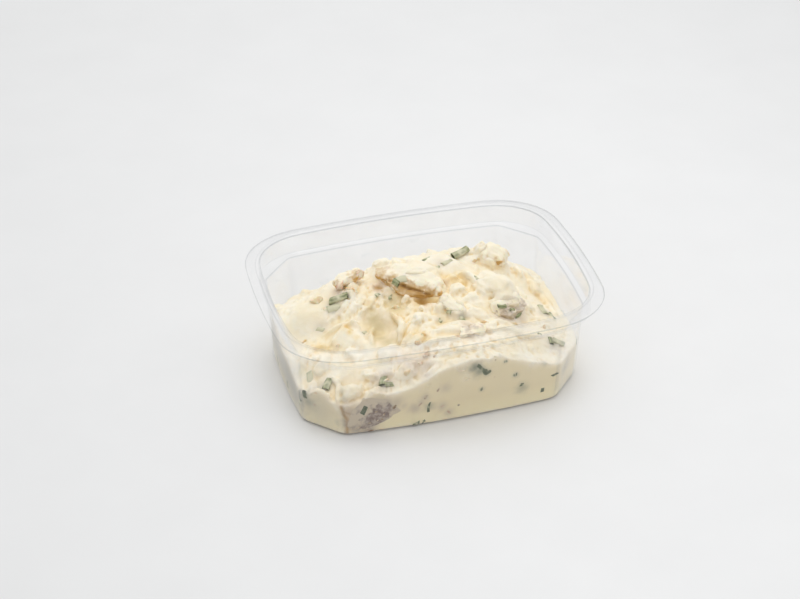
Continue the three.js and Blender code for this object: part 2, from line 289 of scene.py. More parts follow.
def edit_whole(piece, operator, **settings):
    """Runs one operator of edit mode on the whole piece."""
    select_only(piece)
    bpy.ops.object.mode_set(mode="EDIT")
    bpy.ops.mesh.select_all(action="SELECT")
    operator(**settings)
    bpy.ops.object.mode_set(mode="OBJECT")


def read(items, name, width, kind=float):
    """One value of every vertex or edge as an array, a row for each."""
    flat = np.empty(len(items) * width, kind)
    items.foreach_get(name, flat)
    return flat.reshape(-1, width)


def positions(piece):
    """The piece's vertices as an array, in mm."""
    return read(piece.data.vertices, "co", 3) / MM


def move_vertices(piece, places):
    piece.data.vertices.foreach_set("co", (np.asarray(places) * MM).ravel())
    piece.data.update()


def paint(piece, name, values):
    """Stores one number for each vertex under a name that the material reads."""
    layer = piece.data.attributes.new(name, "FLOAT", "POINT")
    layer.data.foreach_set("value", np.asarray(values, np.float32))


def painted_number(tree, name):
    return shade(tree, "Attribute", attribute_name=name).outputs["Fac"]


def painted(tree, tone, layers):
    """The tone under layers of colour, each where its painted number runs from low to high."""
    for name, low, high, most, colour in layers:
        share = spread(tree, painted_number(tree, name), low, high, 0, most)
        tone = blend_colour(tree, share, tone, colour)
    return tone


def rolled_sheet(name, rings, lines):
    """A grid rolled up through rings of points and closed along its seam."""
    count = len(rings[0])
    bpy.ops.mesh.primitive_grid_add(x_subdivisions=count, y_subdivisions=len(rings) - 1, size=1)
    sheet = bpy.context.object
    sheet.name = name
    move_vertices(sheet, np.concatenate([np.vstack([level, level[:1]]) for level in rings]))
    paint(sheet, "line", np.concatenate([np.broadcast_to(line, count + 1) for line in lines]))
    edit_whole(sheet, bpy.ops.mesh.remove_doubles, threshold=0.002 * MM)
    return sheet


def tub_rings():
    """The sheet's outer side from the middle of the base up to the rim's edge, with each edge's line."""
    top, ledge = TUB_HEIGHT - SHEET, LEDGE_HEIGHT + LEDGE_RISE
    mouth, crease, rim = MOUTH_HALF + SHEET, RIM_HALF - RIM_SLOPE_WIDTH, RIM_HALF - SHEET / 2
    base = body_outline(0, BASE_EDGE)
    place = np.arange(len(base) + 1)
    at_corner = (place % SIDE_STEPS == 0) & (place // SIDE_STEPS % 3 > 0)
    corners = BODY_LINE * at_corner * np.where(place > len(base) / 2, 1, BACK_SHARE)
    return [
        *((ring(base * share, 0), 0.0) for share in (0.0, 0.3, 0.6, 0.9)),
        (ring(base, 0), BASE_LINE),
        (ring(body_outline(BASE_EDGE), BASE_EDGE), BASE_LINE / 2),
        *((ring(body_outline(height), height), corners) for height in np.linspace(5, LEDGE_HEIGHT, 5)[:-1]),
        (ring(body_outline(LEDGE_HEIGHT), LEDGE_HEIGHT), LEDGE_LINE),
        (ring(tub_outline(mouth, MOUTH_CORNER, ROUND, BODY_BOW), ledge), LEDGE_LINE / 2),
        (ring(tub_outline(mouth, MOUTH_CORNER, ROUND, RIM_BOW), top), MOUTH_LINE),
        (ring(tub_outline(crease, RIM_CORNER, ROUND, RIM_BOW), top), CREASE_LINE),
        (ring(tub_outline(rim, RIM_CORNER, ROUND, RIM_BOW), top - RIM_SLOPE_DROP), RIM_LINE),
    ]


def towards(start, end, far):
    """Points that far in mm from one ring towards another, or less where the rings are close."""
    gap = np.linalg.norm(end - start, axis=1)[:, None]
    return start + (end - start) * np.minimum(far / gap, EDGE_SHARE)


def rounded_rings(marked):
    """The rings with each marked edge drawn in between two close rings, and each ring's line."""
    made = []
    for i, (edge, line) in enumerate(marked):
        if np.size(line) > 1 or not line:
            made.append((edge, line))
            continue
        near = towards(edge, marked[i - 1][0], EDGE_REACH)
        made.append((near, 0.0))
        if i == len(marked) - 1:
            made.append((edge, line))
        else:
            far = towards(edge, marked[i + 1][0], EDGE_REACH)
            made += [((near + 2 * edge + far) / 4, line), (far, 0.0)]
    return zip(*made)


tub = rolled_sheet("clear_tub", *rounded_rings(tub_rings()))
if tub.data.polygons[0].normal.z > 0:
    tub.data.flip_normals()
add_modifier(tub, "SOLIDIFY", thickness=SHEET * MM, offset=-1, use_even_offset=True)
bpy.ops.object.shade_smooth_by_angle(angle=math.radians(60))

clear_plastic, tree, place = new_material("clear_plastic")
drawn = grain(tree, place, 9.0, detail=2.0)
sheet_tone = blend_colour(tree, spread(tree, drawn, 0.3, 0.7), srgb(253, 253, 253), srgb(249, 249, 249))
where = shade(tree, "SeparateXYZ", {0: place}).outputs
# Painted shade: the sheet is tinted darker along its edges, more so on the right.
edge_shade_tone = blend_colour(tree, spread(tree, where["X"], *RIGHT_SIDE), EDGE_SHADE_TONE, RIGHT_EDGE_SHADE_TONE)
sheet_tone = painted(tree, sheet_tone, [("line", 0, 1, 1, edge_shade_tone)])
on_ledge = maths(tree, "COMPARE", where["Z"], (LEDGE_HEIGHT + 0.1) * MM, 0.45 * MM)
gloss = spread(tree, on_ledge, 0.0, 1.0, spread(tree, drawn, 0.3, 0.7, 0.8, 1.0), LEDGE_GLOSS)
plastic = shade(
    tree,
    "BsdfPrincipled",
    {"Base Color": sheet_tone, "Roughness": 0.0, "IOR": 1.0, "Transmission Weight": 1.0,
     "Coat Weight": gloss, "Coat Roughness": 0.06, "Coat IOR": 1.5},
)
open_air = shade(tree, "BsdfTransparent", {"Color": (0.96, 0.96, 0.96, 1)})
ray = shade(tree, "LightPath").outputs
lit_through = maths(tree, "MAXIMUM", ray["Is Shadow Ray"], ray["Is Diffuse Ray"])
cover(tree, shade(tree, "MixShader", {0: lit_through, 1: plastic.outputs[0], 2: open_air.outputs[0]}))
tub.data.materials.append(clear_plastic)
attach(tub, "root")
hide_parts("tub")


# The salad is a stiff mayonnaise dressing full of torn eel and cut chives, spooned in and left in
# a rough heap. Coated chunks, folds and smears stand out of it, and it sticks to the walls.
REACH = 0.1
FLOOR_OF_SALAD = SHEET - REACH
# The height in mm over which the salad is open heap and no longer pressed to the wall
TOP_FROM = 15.0
VOXEL = 0.44
CORE_CELL = 0.75
CORE_BLUR = 1.3
CORE_SINK = 0.7
CORE_SEGMENTS = 128
CORE_RINGS = 72
# How much of the ball's lower half lies on the wall, where the rest is the underside
ON_WALL = 0.6
# How far the core runs under the tops of the large pieces of eel
SUNK_PIECE = 1.6
# Along the heap's back: x, and how much lower than its packed form it is there, in mm
BACK_DIPS = [
    (-46, 1.1), (-17, 1.6), (-12.5, 3), (-9, 1.2), (-4, 0.3), (2, 0.3), (6, 1.4), (24, 1.4), (29, 0),
]
BACK_START = 7
BACK_FULL = 16
LUMP_SEED = 7
BIG_LUMPS = 110
SMALL_LUMPS = 150
FADE_PASSES = 14
EEL_ON_TOP = ["eel_fillet", "eel_strip", "eel_skinned", "eel_back", "eel_left", "eel_front"]


def bare_copy(node, name):
    """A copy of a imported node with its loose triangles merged."""
    copy = bpy.data.objects.new(name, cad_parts[node].data.copy())
    bpy.context.scene.collection.objects.link(copy)
    copy.data.materials.clear()
    edit_whole(copy, bpy.ops.mesh.remove_doubles, threshold=0.001 * MM)
    return copy


def surface_of(piece):
    """The piece's faces, ready to be met by lines."""
    shape = piece.data
    return BVHTree.FromPolygons([v.co for v in shape.vertices], [p.vertices for p in shape.polygons])


def met_from_above(surface, x, y):
    """Where a plumb line at a place in mm meets a surface, and which way the surface faces there."""
    return surface.ray_cast(Vector((x, y, 60)) * MM, Vector((0, 0, -1)))[:2]


def softened(grid, width):
    """The grid blurred by a bell curve that many cells wide."""
    reach = int(3 * width)
    bell = np.exp(-0.5 * (np.arange(-reach, reach + 1) / width) ** 2)
    bell /= bell.sum()
    for axis in (0, 1):
        padded = np.pad(grid, [(reach, reach) if a == axis else (0, 0) for a in (0, 1)], mode="edge")
        grid = np.apply_along_axis(lambda line: np.convolve(line, bell, "valid"), axis, padded)
    return grid


def core_grid():
    """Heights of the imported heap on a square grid, smooth and without its small fused pieces."""
    surfaces = [(surface_of(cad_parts[name]), SUNK_PIECE) for name in EEL_ON_TOP]
    surfaces.append((surface_of(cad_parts["salad"]), 0.0))
    grid = np.full((len(GRID_X), len(GRID_Y)), np.nan)
    for i, x in enumerate(GRID_X):
        for j, y in enumerate(GRID_Y):
            met = [(met_from_above(surface, x, y)[0], sink) for surface, sink in surfaces]
            grid[i, j] = max([hit.z / MM - sink for hit, sink in met if hit], default=np.nan)
    while np.isnan(grid).any():
        around = np.stack([np.roll(grid, step, axis) for axis in (0, 1) for step in (-1, 1)])
        known = ~np.isnan(around)
        nearby = np.where(known, around, 0).sum(0) / np.maximum(known.sum(0), 1)
        grid = np.where(np.isnan(grid) & known.any(0), nearby, grid)
    return softened(grid, CORE_BLUR / CORE_CELL)


GRID_X = np.arange(-RIM_HALF[0], RIM_HALF[0], CORE_CELL)
GRID_Y = np.arange(-RIM_HALF[1], RIM_HALF[1], CORE_CELL)
core_heights = core_grid() - CORE_SINK
towards_back = np.clip((GRID_Y - BACK_START) / (BACK_FULL - BACK_START), 0, 1)
core_heights -= np.outer(np.interp(GRID_X, *zip(*BACK_DIPS)), towards_back)


def core_height(x, y):
    """Height of the smooth core at places in mm."""
    column = np.clip((np.asarray(x) - GRID_X[0]) / CORE_CELL, 0, len(GRID_X) - 1.001)
    row = np.clip((np.asarray(y) - GRID_Y[0]) / CORE_CELL, 0, len(GRID_Y) - 1.001)
    i, j = column.astype(int), row.astype(int)
    u, v = column - i, row - j
    near = core_heights[i, j] * (1 - v) + core_heights[i, j + 1] * v
    far = core_heights[i + 1, j] * (1 - v) + core_heights[i + 1, j + 1] * v
    return near * (1 - u) + far * u


def wall_radius(angle, height):
    """How far the salad reaches from the middle, at an angle and a height, just into the wall."""
    low, high = WALL_LEVELS
    share = np.clip(height / LEDGE_HEIGHT, 0, 1)
    near_base = np.clip(BASE_EDGE - height, 0, BASE_EDGE)
    return np.interp(angle, *low) * (1 - share) + np.interp(angle, *high) * share - near_base


def polar(points):
    """Angles and distances of an outline's points, in order and past both ends of the circle."""
    angles = np.arctan2(points[:, 1], points[:, 0])
    order = np.argsort(angles)
    angles, radii = angles[order], np.hypot(*points[order].T)
    turn = 2 * math.pi
    return (
        np.concatenate([angles[-2:] - turn, angles, angles[:2] + turn]),
        np.concatenate([radii[-2:], radii, radii[:2]]),
    )


WALL_LEVELS = [polar(body_outline(height, SHEET - REACH)) for height in (0, LEDGE_HEIGHT)]


def salad_core():
    """A ball pressed into the tub: its upper half is the heap, its lower half fills the body."""
    bpy.ops.mesh.primitive_uv_sphere_add(segments=CORE_SEGMENTS, ring_count=CORE_RINGS, radius=MM)
    core = bpy.context.object
    core.name = "salad_body"
    ball = positions(core)
    angle = np.arctan2(ball[:, 1], ball[:, 0])
    down = np.arccos(np.clip(ball[:, 2], -1, 1)) / (math.pi / 2)
    # The heap's height at the wall is found in a few steps from a rough guess.
    edge_height = np.full(len(ball), TOP_FROM)
    for _ in range(4):
        edge = wall_radius(angle, edge_height)
        edge_height = core_height(edge * np.cos(angle), edge * np.sin(angle))
    below = np.clip((down - 1) / ON_WALL, 0, 1)
    down_wall = edge_height * (1 - below) + FLOOR_OF_SALAD * below
    across = np.clip((down - 1 - ON_WALL) / (1 - ON_WALL), 0, 1)
    lower = down > 1
    radius = np.where(lower, wall_radius(angle, down_wall) * (1 - across), edge * down)
    x, y = radius * np.cos(angle), radius * np.sin(angle)
    move_vertices(core, np.column_stack([x, y, np.where(lower, down_wall, core_height(x, y))]))
    return core


def lump_model(steps):
    """The points and faces of a ball with that many subdivisions."""
    bpy.ops.mesh.primitive_ico_sphere_add(subdivisions=steps, radius=MM)
    ball = bpy.context.object
    points = positions(ball)
    faces = np.array([p.vertices[:] for p in ball.data.polygons])
    bpy.data.objects.remove(ball)
    return points, faces


def axes_on(out, heading):
    """Unit vectors along, across and out of a surface, for a piece at that heading."""
    out = out / np.linalg.norm(out)
    along = np.array([math.cos(heading), math.sin(heading), 0.0])
    along -= out * along.dot(out)
    along /= np.linalg.norm(along)
    return np.array([along, np.cross(out, along), out])


def slope_frame(x, y, heading):
    """The same for the core's surface at a place in mm."""
    step = 1.2
    rise_x = (core_height(x + step, y) - core_height(x - step, y)) / (2 * step)
    rise_y = (core_height(x, y + step) - core_height(x, y - step)) / (2 * step)
    return axes_on(np.array([-rise_x, -rise_y, 1.0]), heading)


def torn(form, size, rand, cuts=10, dent=0.06, keep=(0.5, 0.9)):
    """A form of radius 1 cut flat on some sides and dented, like a torn chunk, at its size in mm."""
    points = form.copy()
    for _ in range(cuts):
        way = np.array([rand.gauss(0, 1) for _ in range(3)])
        way /= np.linalg.norm(way)
        over = points @ way - (form @ way).max() * rand.uniform(*keep)
        points -= np.outer(np.clip(over, 0, None), way)
    shift = rand.uniform(0, 50)
    bumps = np.array([noise.noise(Vector(p) * 2.2 + Vector((shift, 0, 0))) for p in form])
    return points * (1 + dent * 4 * bumps)[:, None] * np.array(size) / 2


# x, y, length, width, thickness, heading and lean in degrees, and the top's rise over the core
NAMED_LUMPS = [
    (24, -3, 20, 13, 9, -74, -6, 4.4), (24.6, -9, 11, 8.6, 6, 8, 0, 3.9), (2.8, 10, 21, 15, 6, -44, 0, 3.2),
    (12.5, 11, 17, 12, 5, -30, 0, 1.9), (11.6, -1.2, 8, 6.2, 6, 70, 0, 3.1),
    (25.2, 17.4, 7.4, 6, 9, 50, 0, 3.9), (21.6, 14.6, 4.4, 3.4, 5, 20, 0, 1.9),
    (27, 13, 7, 5, 6, -40, 0, 2.6), (30.5, 19, 7, 3, 5, -8, 0, 3.2), (40, 7, 9, 4.5, 4, -72, 0, 2.6),
    (-29.6, -6.4, 9.4, 6.8, 3.4, 30, 2, 2.1), (-35.4, -6.6, 4.2, 2.4, 2.6, -30, 0, 1.4),
    (-33.2, -9.2, 3.6, 2.2, 2.4, -40, 0, 1.3), (-37.8, -4.2, 3.2, 2, 2, -60, 0, 1.1),
    (-24.2, -2.8, 4.6, 3.2, 3.6, 10, 0, 2.6), (-20.6, -8.4, 3.2, 2.4, 3, 50, 0, 1.8),
    (-5, 1.4, 4.4, 3, 4.4, 40, 0, 3), (-1.6, -5.4, 3.4, 2.6, 3.6, 80, 0, 2.6),
    (3.4, -7.4, 4, 2.8, 3.6, 20, 0, 2.5), (-3.5, -9.4, 8, 4.6, 4, 30, 0, 2.2),
    (5.6, -6.6, 4.6, 3.6, 4, 40, 0, 3.3), (8.8, -8.6, 4.6, 3.8, 4, 10, 0, 3.1),
    (9.4, -11.4, 4, 3.2, 4, 60, 0, 2.4), (7.5, -12, 6.5, 4, 4, -20, 0, 2), (-7.5, -18, 9, 4.5, 4, 12, 0, 2),
    (4.5, -17.5, 10, 4, 4, -24, 0, 1.9), (14.5, -13, 9, 4.2, 4, -30, 0, 1.8),
    (22, -19, 11, 4, 4, -24, 0, 1.8), (33.5, -6, 8, 5, 4, -60, 0, 2.2), (33, 2, 9, 5, 4, -50, 0, 2),
    (-27.5, -14, 8, 5.5, 5, -20, 0, 2.4), (-17, -19, 11, 6, 5, 12, 0, 2.9),
    (-37, -13.5, 9, 6, 4, 60, 0, 1.6), (-20.5, 12.8, 6, 4, 4, 40, 0, 1.8),
    (-40.8, -24, 8.5, 4.6, 5, -50, 0, 3.2), (-31, -27.5, 9, 7, 6, 20, 0, 3.4),
    (-24, -31, 9, 5, 5, 0, 0, 2.6), (-13.5, -27.5, 9, 5.5, 5, 20, 0, 2.6),
    (-24.5, -24, 6, 4, 4, -10, 0, 2.2), (-6, -31, 7, 4, 4, 20, 0, 1.8),
]
# Points of a fold or a smear in x, y, its width, and its rise over the core
FOLDS = [
    ([(-16, 15), (-17, 9), (-20.5, 4.5), (-26, 1.5)], 3, 0.5),
    ([(-13.6, 13), (-14.6, 7), (-17.6, 2.6), (-22.6, -0.6)], 2.4, 0.5),
    ([(-19.2, 12), (-21.8, 7), (-26.4, 4), (-31, 2.6)], 2.4, 0.4),
    ([(-12.2, 8), (-12.4, 3), (-14.4, -1)], 2.4, 0.5),
    ([(8.6, 4.6), (12, 6.6), (16, 5.6), (17.6, 1.6), (17.2, -3), (18.6, -6.6)], 2, 1.2),
    ([(-11.4, -3.8), (-9.8, -7.4), (-10.2, -11), (-13, -15.8)], 2.5, 2.2),
    ([(36, 14.4), (36.8, 8.6)], 2.2, 1.7),
    ([(-17.6, -4), (-20, -8.6), (-20.4, -13)], 2, 1.3),
    ([(-2, -16.5), (5, -19), (11, -22.4)], 2.2, 1.1),
    ([(2, -14), (9, -16.6), (17, -20.6)], 2.1, 1.1),
    ([(-9, -20.5), (-2, -21.5), (5, -24.6)], 2.2, 1.1),
    ([(19, -20.5), (26, -22), (33, -21)], 2.2, 1),
    ([(38, 16), (41.5, 9), (43, 1), (43.2, -7)], 2.6, 1),
    ([(-33, -1.5), (-28, -1.2), (-22.5, -4.2)], 2, 1.1),
    ([(-44.5, -12), (-39.5, -6.5), (-34.5, -5.5)], 2.4, 0.8),
    ([(-36.5, -29.5), (-34.6, -25), (-35.5, -20)], 2.2, 1.8),
]
# x, y, radius: places where the dressing is smooth
CALM = [
    (-38, 5, 12), (-15.5, -7, 8), (3, 10, 11), (13, 10, 7), (-36, -17, 5), (24, -2, 8), (-29, -7, 6),
    (36, 11, 3), (-33, -20, 7), (-19, -19, 5), (26, -8, 7), (-10, 17, 5), (41, 6, 8), (38, 20, 6),
]
# Ranges of length, and of the top's rise over the core, in mm
BIG_LUMP = ((3.5, 8.5), (0.5, 1.5))
SMALL_LUMP = ((1.4, 3.0), (0.4, 1.0))


def fold_balls(ball, line, width, rise):
    """Overlapping balls along a line on the core, smaller towards its ends."""
    rise += CORE_SINK - 0.1
    line = np.array(line)
    lengths = np.concatenate([[0], np.cumsum(np.linalg.norm(np.diff(line, axis=0), axis=1))])
    made = []
    for stop in np.arange(0, lengths[-1], width / 4):
        x, y = np.interp(stop, lengths, line[:, 0]), np.interp(stop, lengths, line[:, 1])
        size = width * (0.45 + 0.55 * math.sin(math.pi * stop / lengths[-1]) ** 0.6)
        size *= 1 + 0.25 * noise.noise(Vector((x, y, 0)) / 1.7)
        height = float(core_height(x, y)) + rise * size / width - size / 2
        made.append(ball * size / 2 + (x, y, height))
    return made


def lump(ball, rand, x, y, size, heading, lean, rise):
    """The points of one torn lump on the core, at a heading and leaning over to one side."""
    along, across, out = slope_frame(x, y, heading)
    leaning = across * math.cos(lean) + out * math.sin(lean)
    turn = np.array([along, leaning, np.cross(along, leaning)])
    middle = np.array([x, y, float(core_height(x, y))]) + out * (rise - size[2] / 2)
    return torn(ball, size, rand) @ turn + middle


def scattered_lumps(ball, rand):
    """Lumps of both kinds at random places, but for where the dressing is smooth."""
    made = []
    for lengths, rises in [BIG_LUMP] * BIG_LUMPS + [SMALL_LUMP] * SMALL_LUMPS:
        around, out = rand.uniform(-math.pi, math.pi), 0.97 * math.sqrt(rand.random())
        edge = float(wall_radius(around, 18))
        x, y = edge * out * math.cos(around), edge * out * math.sin(around)
        length = rand.uniform(*lengths)
        width = length * rand.uniform(0.5, 0.85)
        size = (length, width, width * rand.uniform(0.5, 0.9))
        heading, lean, rise = rand.uniform(0, math.pi), rand.gauss(0, 0.3), rand.uniform(*rises)
        if all(math.hypot(x - cx, y - cy) >= radius for cx, cy, radius in CALM):
            made.append(lump(ball, rand, x, y, size, heading, lean, rise))
    return made


def lump_set():
    """Points and faces of all the lumps and folds, on the core and ready to be melted into it."""
    rand = random.Random(LUMP_SEED)
    ball, faces = lump_model(3)
    small_ball, small_faces = lump_model(2)
    lumps = [
        lump(ball, rand, x, y, (length, width, thickness), math.radians(heading), math.radians(lean), rise)
        for x, y, length, width, thickness, heading, lean, rise in NAMED_LUMPS
    ]
    sets = [(placed, faces) for placed in lumps + scattered_lumps(ball, rand)]
    for line, width, rise in FOLDS:
        sets += [(placed, small_faces) for placed in fold_balls(small_ball, line, width, rise)]
    starts = np.cumsum([0] + [len(placed) for placed, _ in sets])
    all_faces = np.concatenate([sides + start for (_, sides), start in zip(sets, starts)])
    return np.concatenate([placed for placed, _ in sets]), all_faces


def mesh_piece(name, points, faces):
    """A new object from points in mm and faces."""
    shape = bpy.data.meshes.new(name)
    shape.from_pydata((np.asarray(points) * MM).tolist(), [], np.asarray(faces).tolist())
    made = bpy.data.objects.new(name, shape)
    bpy.context.scene.collection.objects.link(made)
    return made


salad = salad_core()
lumps = mesh_piece("lumps", *lump_set())
select_only(salad)
lumps.select_set(True)
bpy.ops.object.join()
add_modifier(salad, "REMESH", mode="VOXEL", voxel_size=VOXEL * MM)
add_modifier(salad, "SMOOTH", factor=0.5, iterations=2)

# x, y, z of the middle, length, width, depth, heading: hollows pressed into the heap
SCOOPS = [
    (-15.6, -8, 25, 17, 5.6, 8, 84), (-11.4, 10.6, 27.4, 4.6, 2.2, 6, -62), (-6.4, 4.6, 27, 9, 2, 4, -42),
    (0.4, -1.7, 26.4, 8.4, 3.4, 7, -30), (7.8, 4, 29.4, 2.4, 2, 6, 10), (20.4, -8.4, 27, 2, 1.4, 3.4, -20),
    (14.6, 2.2, 27.6, 3.4, 2.6, 3.4, 80), (-7.6, -13.4, 24.9, 1.1, 1, 3, 20),
    (-8.8, -14.6, 24.6, 1, 0.8, 2.6, 60), (-6.3, -14.6, 24.4, 1.2, 0.8, 2.6, 20),
    (-25.8, -5, 22.4, 4, 1.3, 3, -38), (-9.4, -1.6, 26, 3.2, 2.6, 3.6, 30),
    (30, 10.4, 29.6, 5.5, 3.4, 7, 20), (15, 3.6, 29, 11, 1.8, 4, -62),
    (-20.4, -26.6, 18.6, 6.4, 4.2, 6, -20), (26, -11.6, 24.4, 10, 1.8, 3, 14),
    (-23.4, 7.4, 26.4, 4.5, 1.6, 3.6, -60),
]


def turned(points, turn):
    """How far each point lies along a heading and across it."""
    x, y = points[:, 0], points[:, 1]
    return x * np.cos(turn) + y * np.sin(turn), y * np.cos(turn) - x * np.sin(turn)


def scooped(points):
    """The points with every hollow pressed down to its bowl."""
    for x, y, z, length, width, depth, heading in SCOOPS:
        along, across = turned(points[:, :2] - (x, y), math.radians(heading))
        inside = (along / (length / 2)) ** 2 + (across / (width / 2)) ** 2
        bowl = z - depth / 2 * np.sqrt(np.clip(1 - inside, 0, 1))
        pressed = (inside < 1) & (points[:, 2] > TOP_FROM)
        points[:, 2] = np.where(pressed, np.minimum(points[:, 2], bowl), points[:, 2])
    return points


def kept_in_tub(points, further=0.0):
    """The points drawn in to where the salad meets the wall and the floor of the tub."""
    points[:, 2] = np.maximum(points[:, 2], FLOOR_OF_SALAD - further)
    angle = np.arctan2(points[:, 1], points[:, 0])
    radius = np.hypot(points[:, 0], points[:, 1])
    limit = wall_radius(angle, points[:, 2]) + further
    shrink = np.where(radius > limit, limit / np.maximum(radius, 1e-6), 1)
    points[:, :2] *= shrink[:, None]
    return points, np.minimum(radius, limit) / limit


def neighbours_mean(values, edges, count):
    """Each vertex's mean over the vertices that it is joined to."""
    links = np.maximum(np.bincount(edges.ravel(), minlength=count), 1)
    start, end = edges.T
    totals = [np.bincount(start, x[end], count) + np.bincount(end, x[start], count) for x in values.T]
    return np.column_stack(totals) / links[:, None]


def edge_pairs(piece):
    return read(piece.data.edges, "vertices", 2, int)


def normals(piece):
    return read(piece.data.vertex_normals, "vector", 3)


def evened(values, piece, passes):
    """The values of the piece's vertices after so many rounds of taking the mean of the neighbours."""
    edges = edge_pairs(piece)
    for _ in range(passes):
        values = neighbours_mean(values, edges, len(values))
    return values


def hollowness(piece, passes, depth):
    """How far each vertex lies in a dip, from 0 to 1 at that depth in mm."""
    points = positions(piece)
    dip = ((evened(points, piece, passes) - points) * normals(piece)).sum(1)
    return np.clip(dip / depth, 0, 1)


def wavy(points, size, shift=0.0):
    """Soft noise from -1 to 1 at each point, about that many mm wide."""
    return np.array([noise.noise(Vector(p) / size + Vector((shift, 0, 0))) for p in points])


def dragged(points, size, stretch):
    """Noise drawn out the way that the spoon moved: across the heap's left, along its right."""
    along, across = turned(points, np.radians(np.interp(points[:, 0], (-25, 15), (64, -28))))
    return wavy(np.column_stack([along / stretch, across, points[:, 2] / stretch]), size, 20)


CURD_DEPTH = 0.24
DRAG_DEPTH = 0.28
GRAIN_DEPTH = 0.2


def textured(piece):
    """Torn curds and drag marks on the top of the salad, finer than its lumps."""
    points = positions(piece)
    out = normals(piece)
    top = np.clip((points[:, 2] - 12) / 3, 0, 1)
    calm = np.ones(len(points))
    for x, y, radius in CALM:
        calm *= 1 - 0.7 * np.exp(-(((points[:, 0] - x) ** 2 + (points[:, 1] - y) ** 2) / radius**2) ** 2)
    relief = CURD_DEPTH * (0.5 - 2 * np.abs(wavy(points, 2.6)))
    relief += DRAG_DEPTH * dragged(points, 0.9, 5) + GRAIN_DEPTH * wavy(points, 1.2, 7)
    rough = np.clip(1 + 1.6 * wavy(points, 9, 4), 0.2, 2.2)
    return points + out * (relief * top * calm * rough)[:, None]


move_vertices(salad, scooped(textured(salad)))
add_modifier(salad, "SMOOTH", factor=0.5, iterations=1)
move_vertices(salad, kept_in_tub(positions(salad))[0])
bpy.ops.object.shade_smooth()

# The flat underside needs no fine mesh.
lowest = positions(salad)[:, 2] < FLOOR_OF_SALAD + 0.01
flat_faces = [bool(lowest[list(face.vertices)].all()) for face in salad.data.polygons]
salad.data.vertices.foreach_set("select", lowest)
salad.data.polygons.foreach_set("select", flat_faces)
bpy.ops.object.mode_set(mode="EDIT")
bpy.ops.mesh.dissolve_faces(use_verts=True)
bpy.ops.object.mode_set(mode="OBJECT")

pressed = np.clip((kept_in_tub(positions(salad))[1] - 0.985) / 0.012, 0, 1)[:, None]
inside = evened(pressed, salad, FADE_PASSES)
paint(salad, "pressed", (pressed * inside**2).ravel())
# Painted shade: creases and wider dips of the heap are painted a darker golden tone, the dips less so
# towards the right.
paint(salad, "crease", hollowness(salad, passes=8, depth=0.3))
less_dip_shade_right = np.interp(positions(salad)[:, 0], (5, 30), (1.0, 0.5))
paint(salad, "dip", hollowness(salad, passes=60, depth=1.0) * less_dip_shade_right)
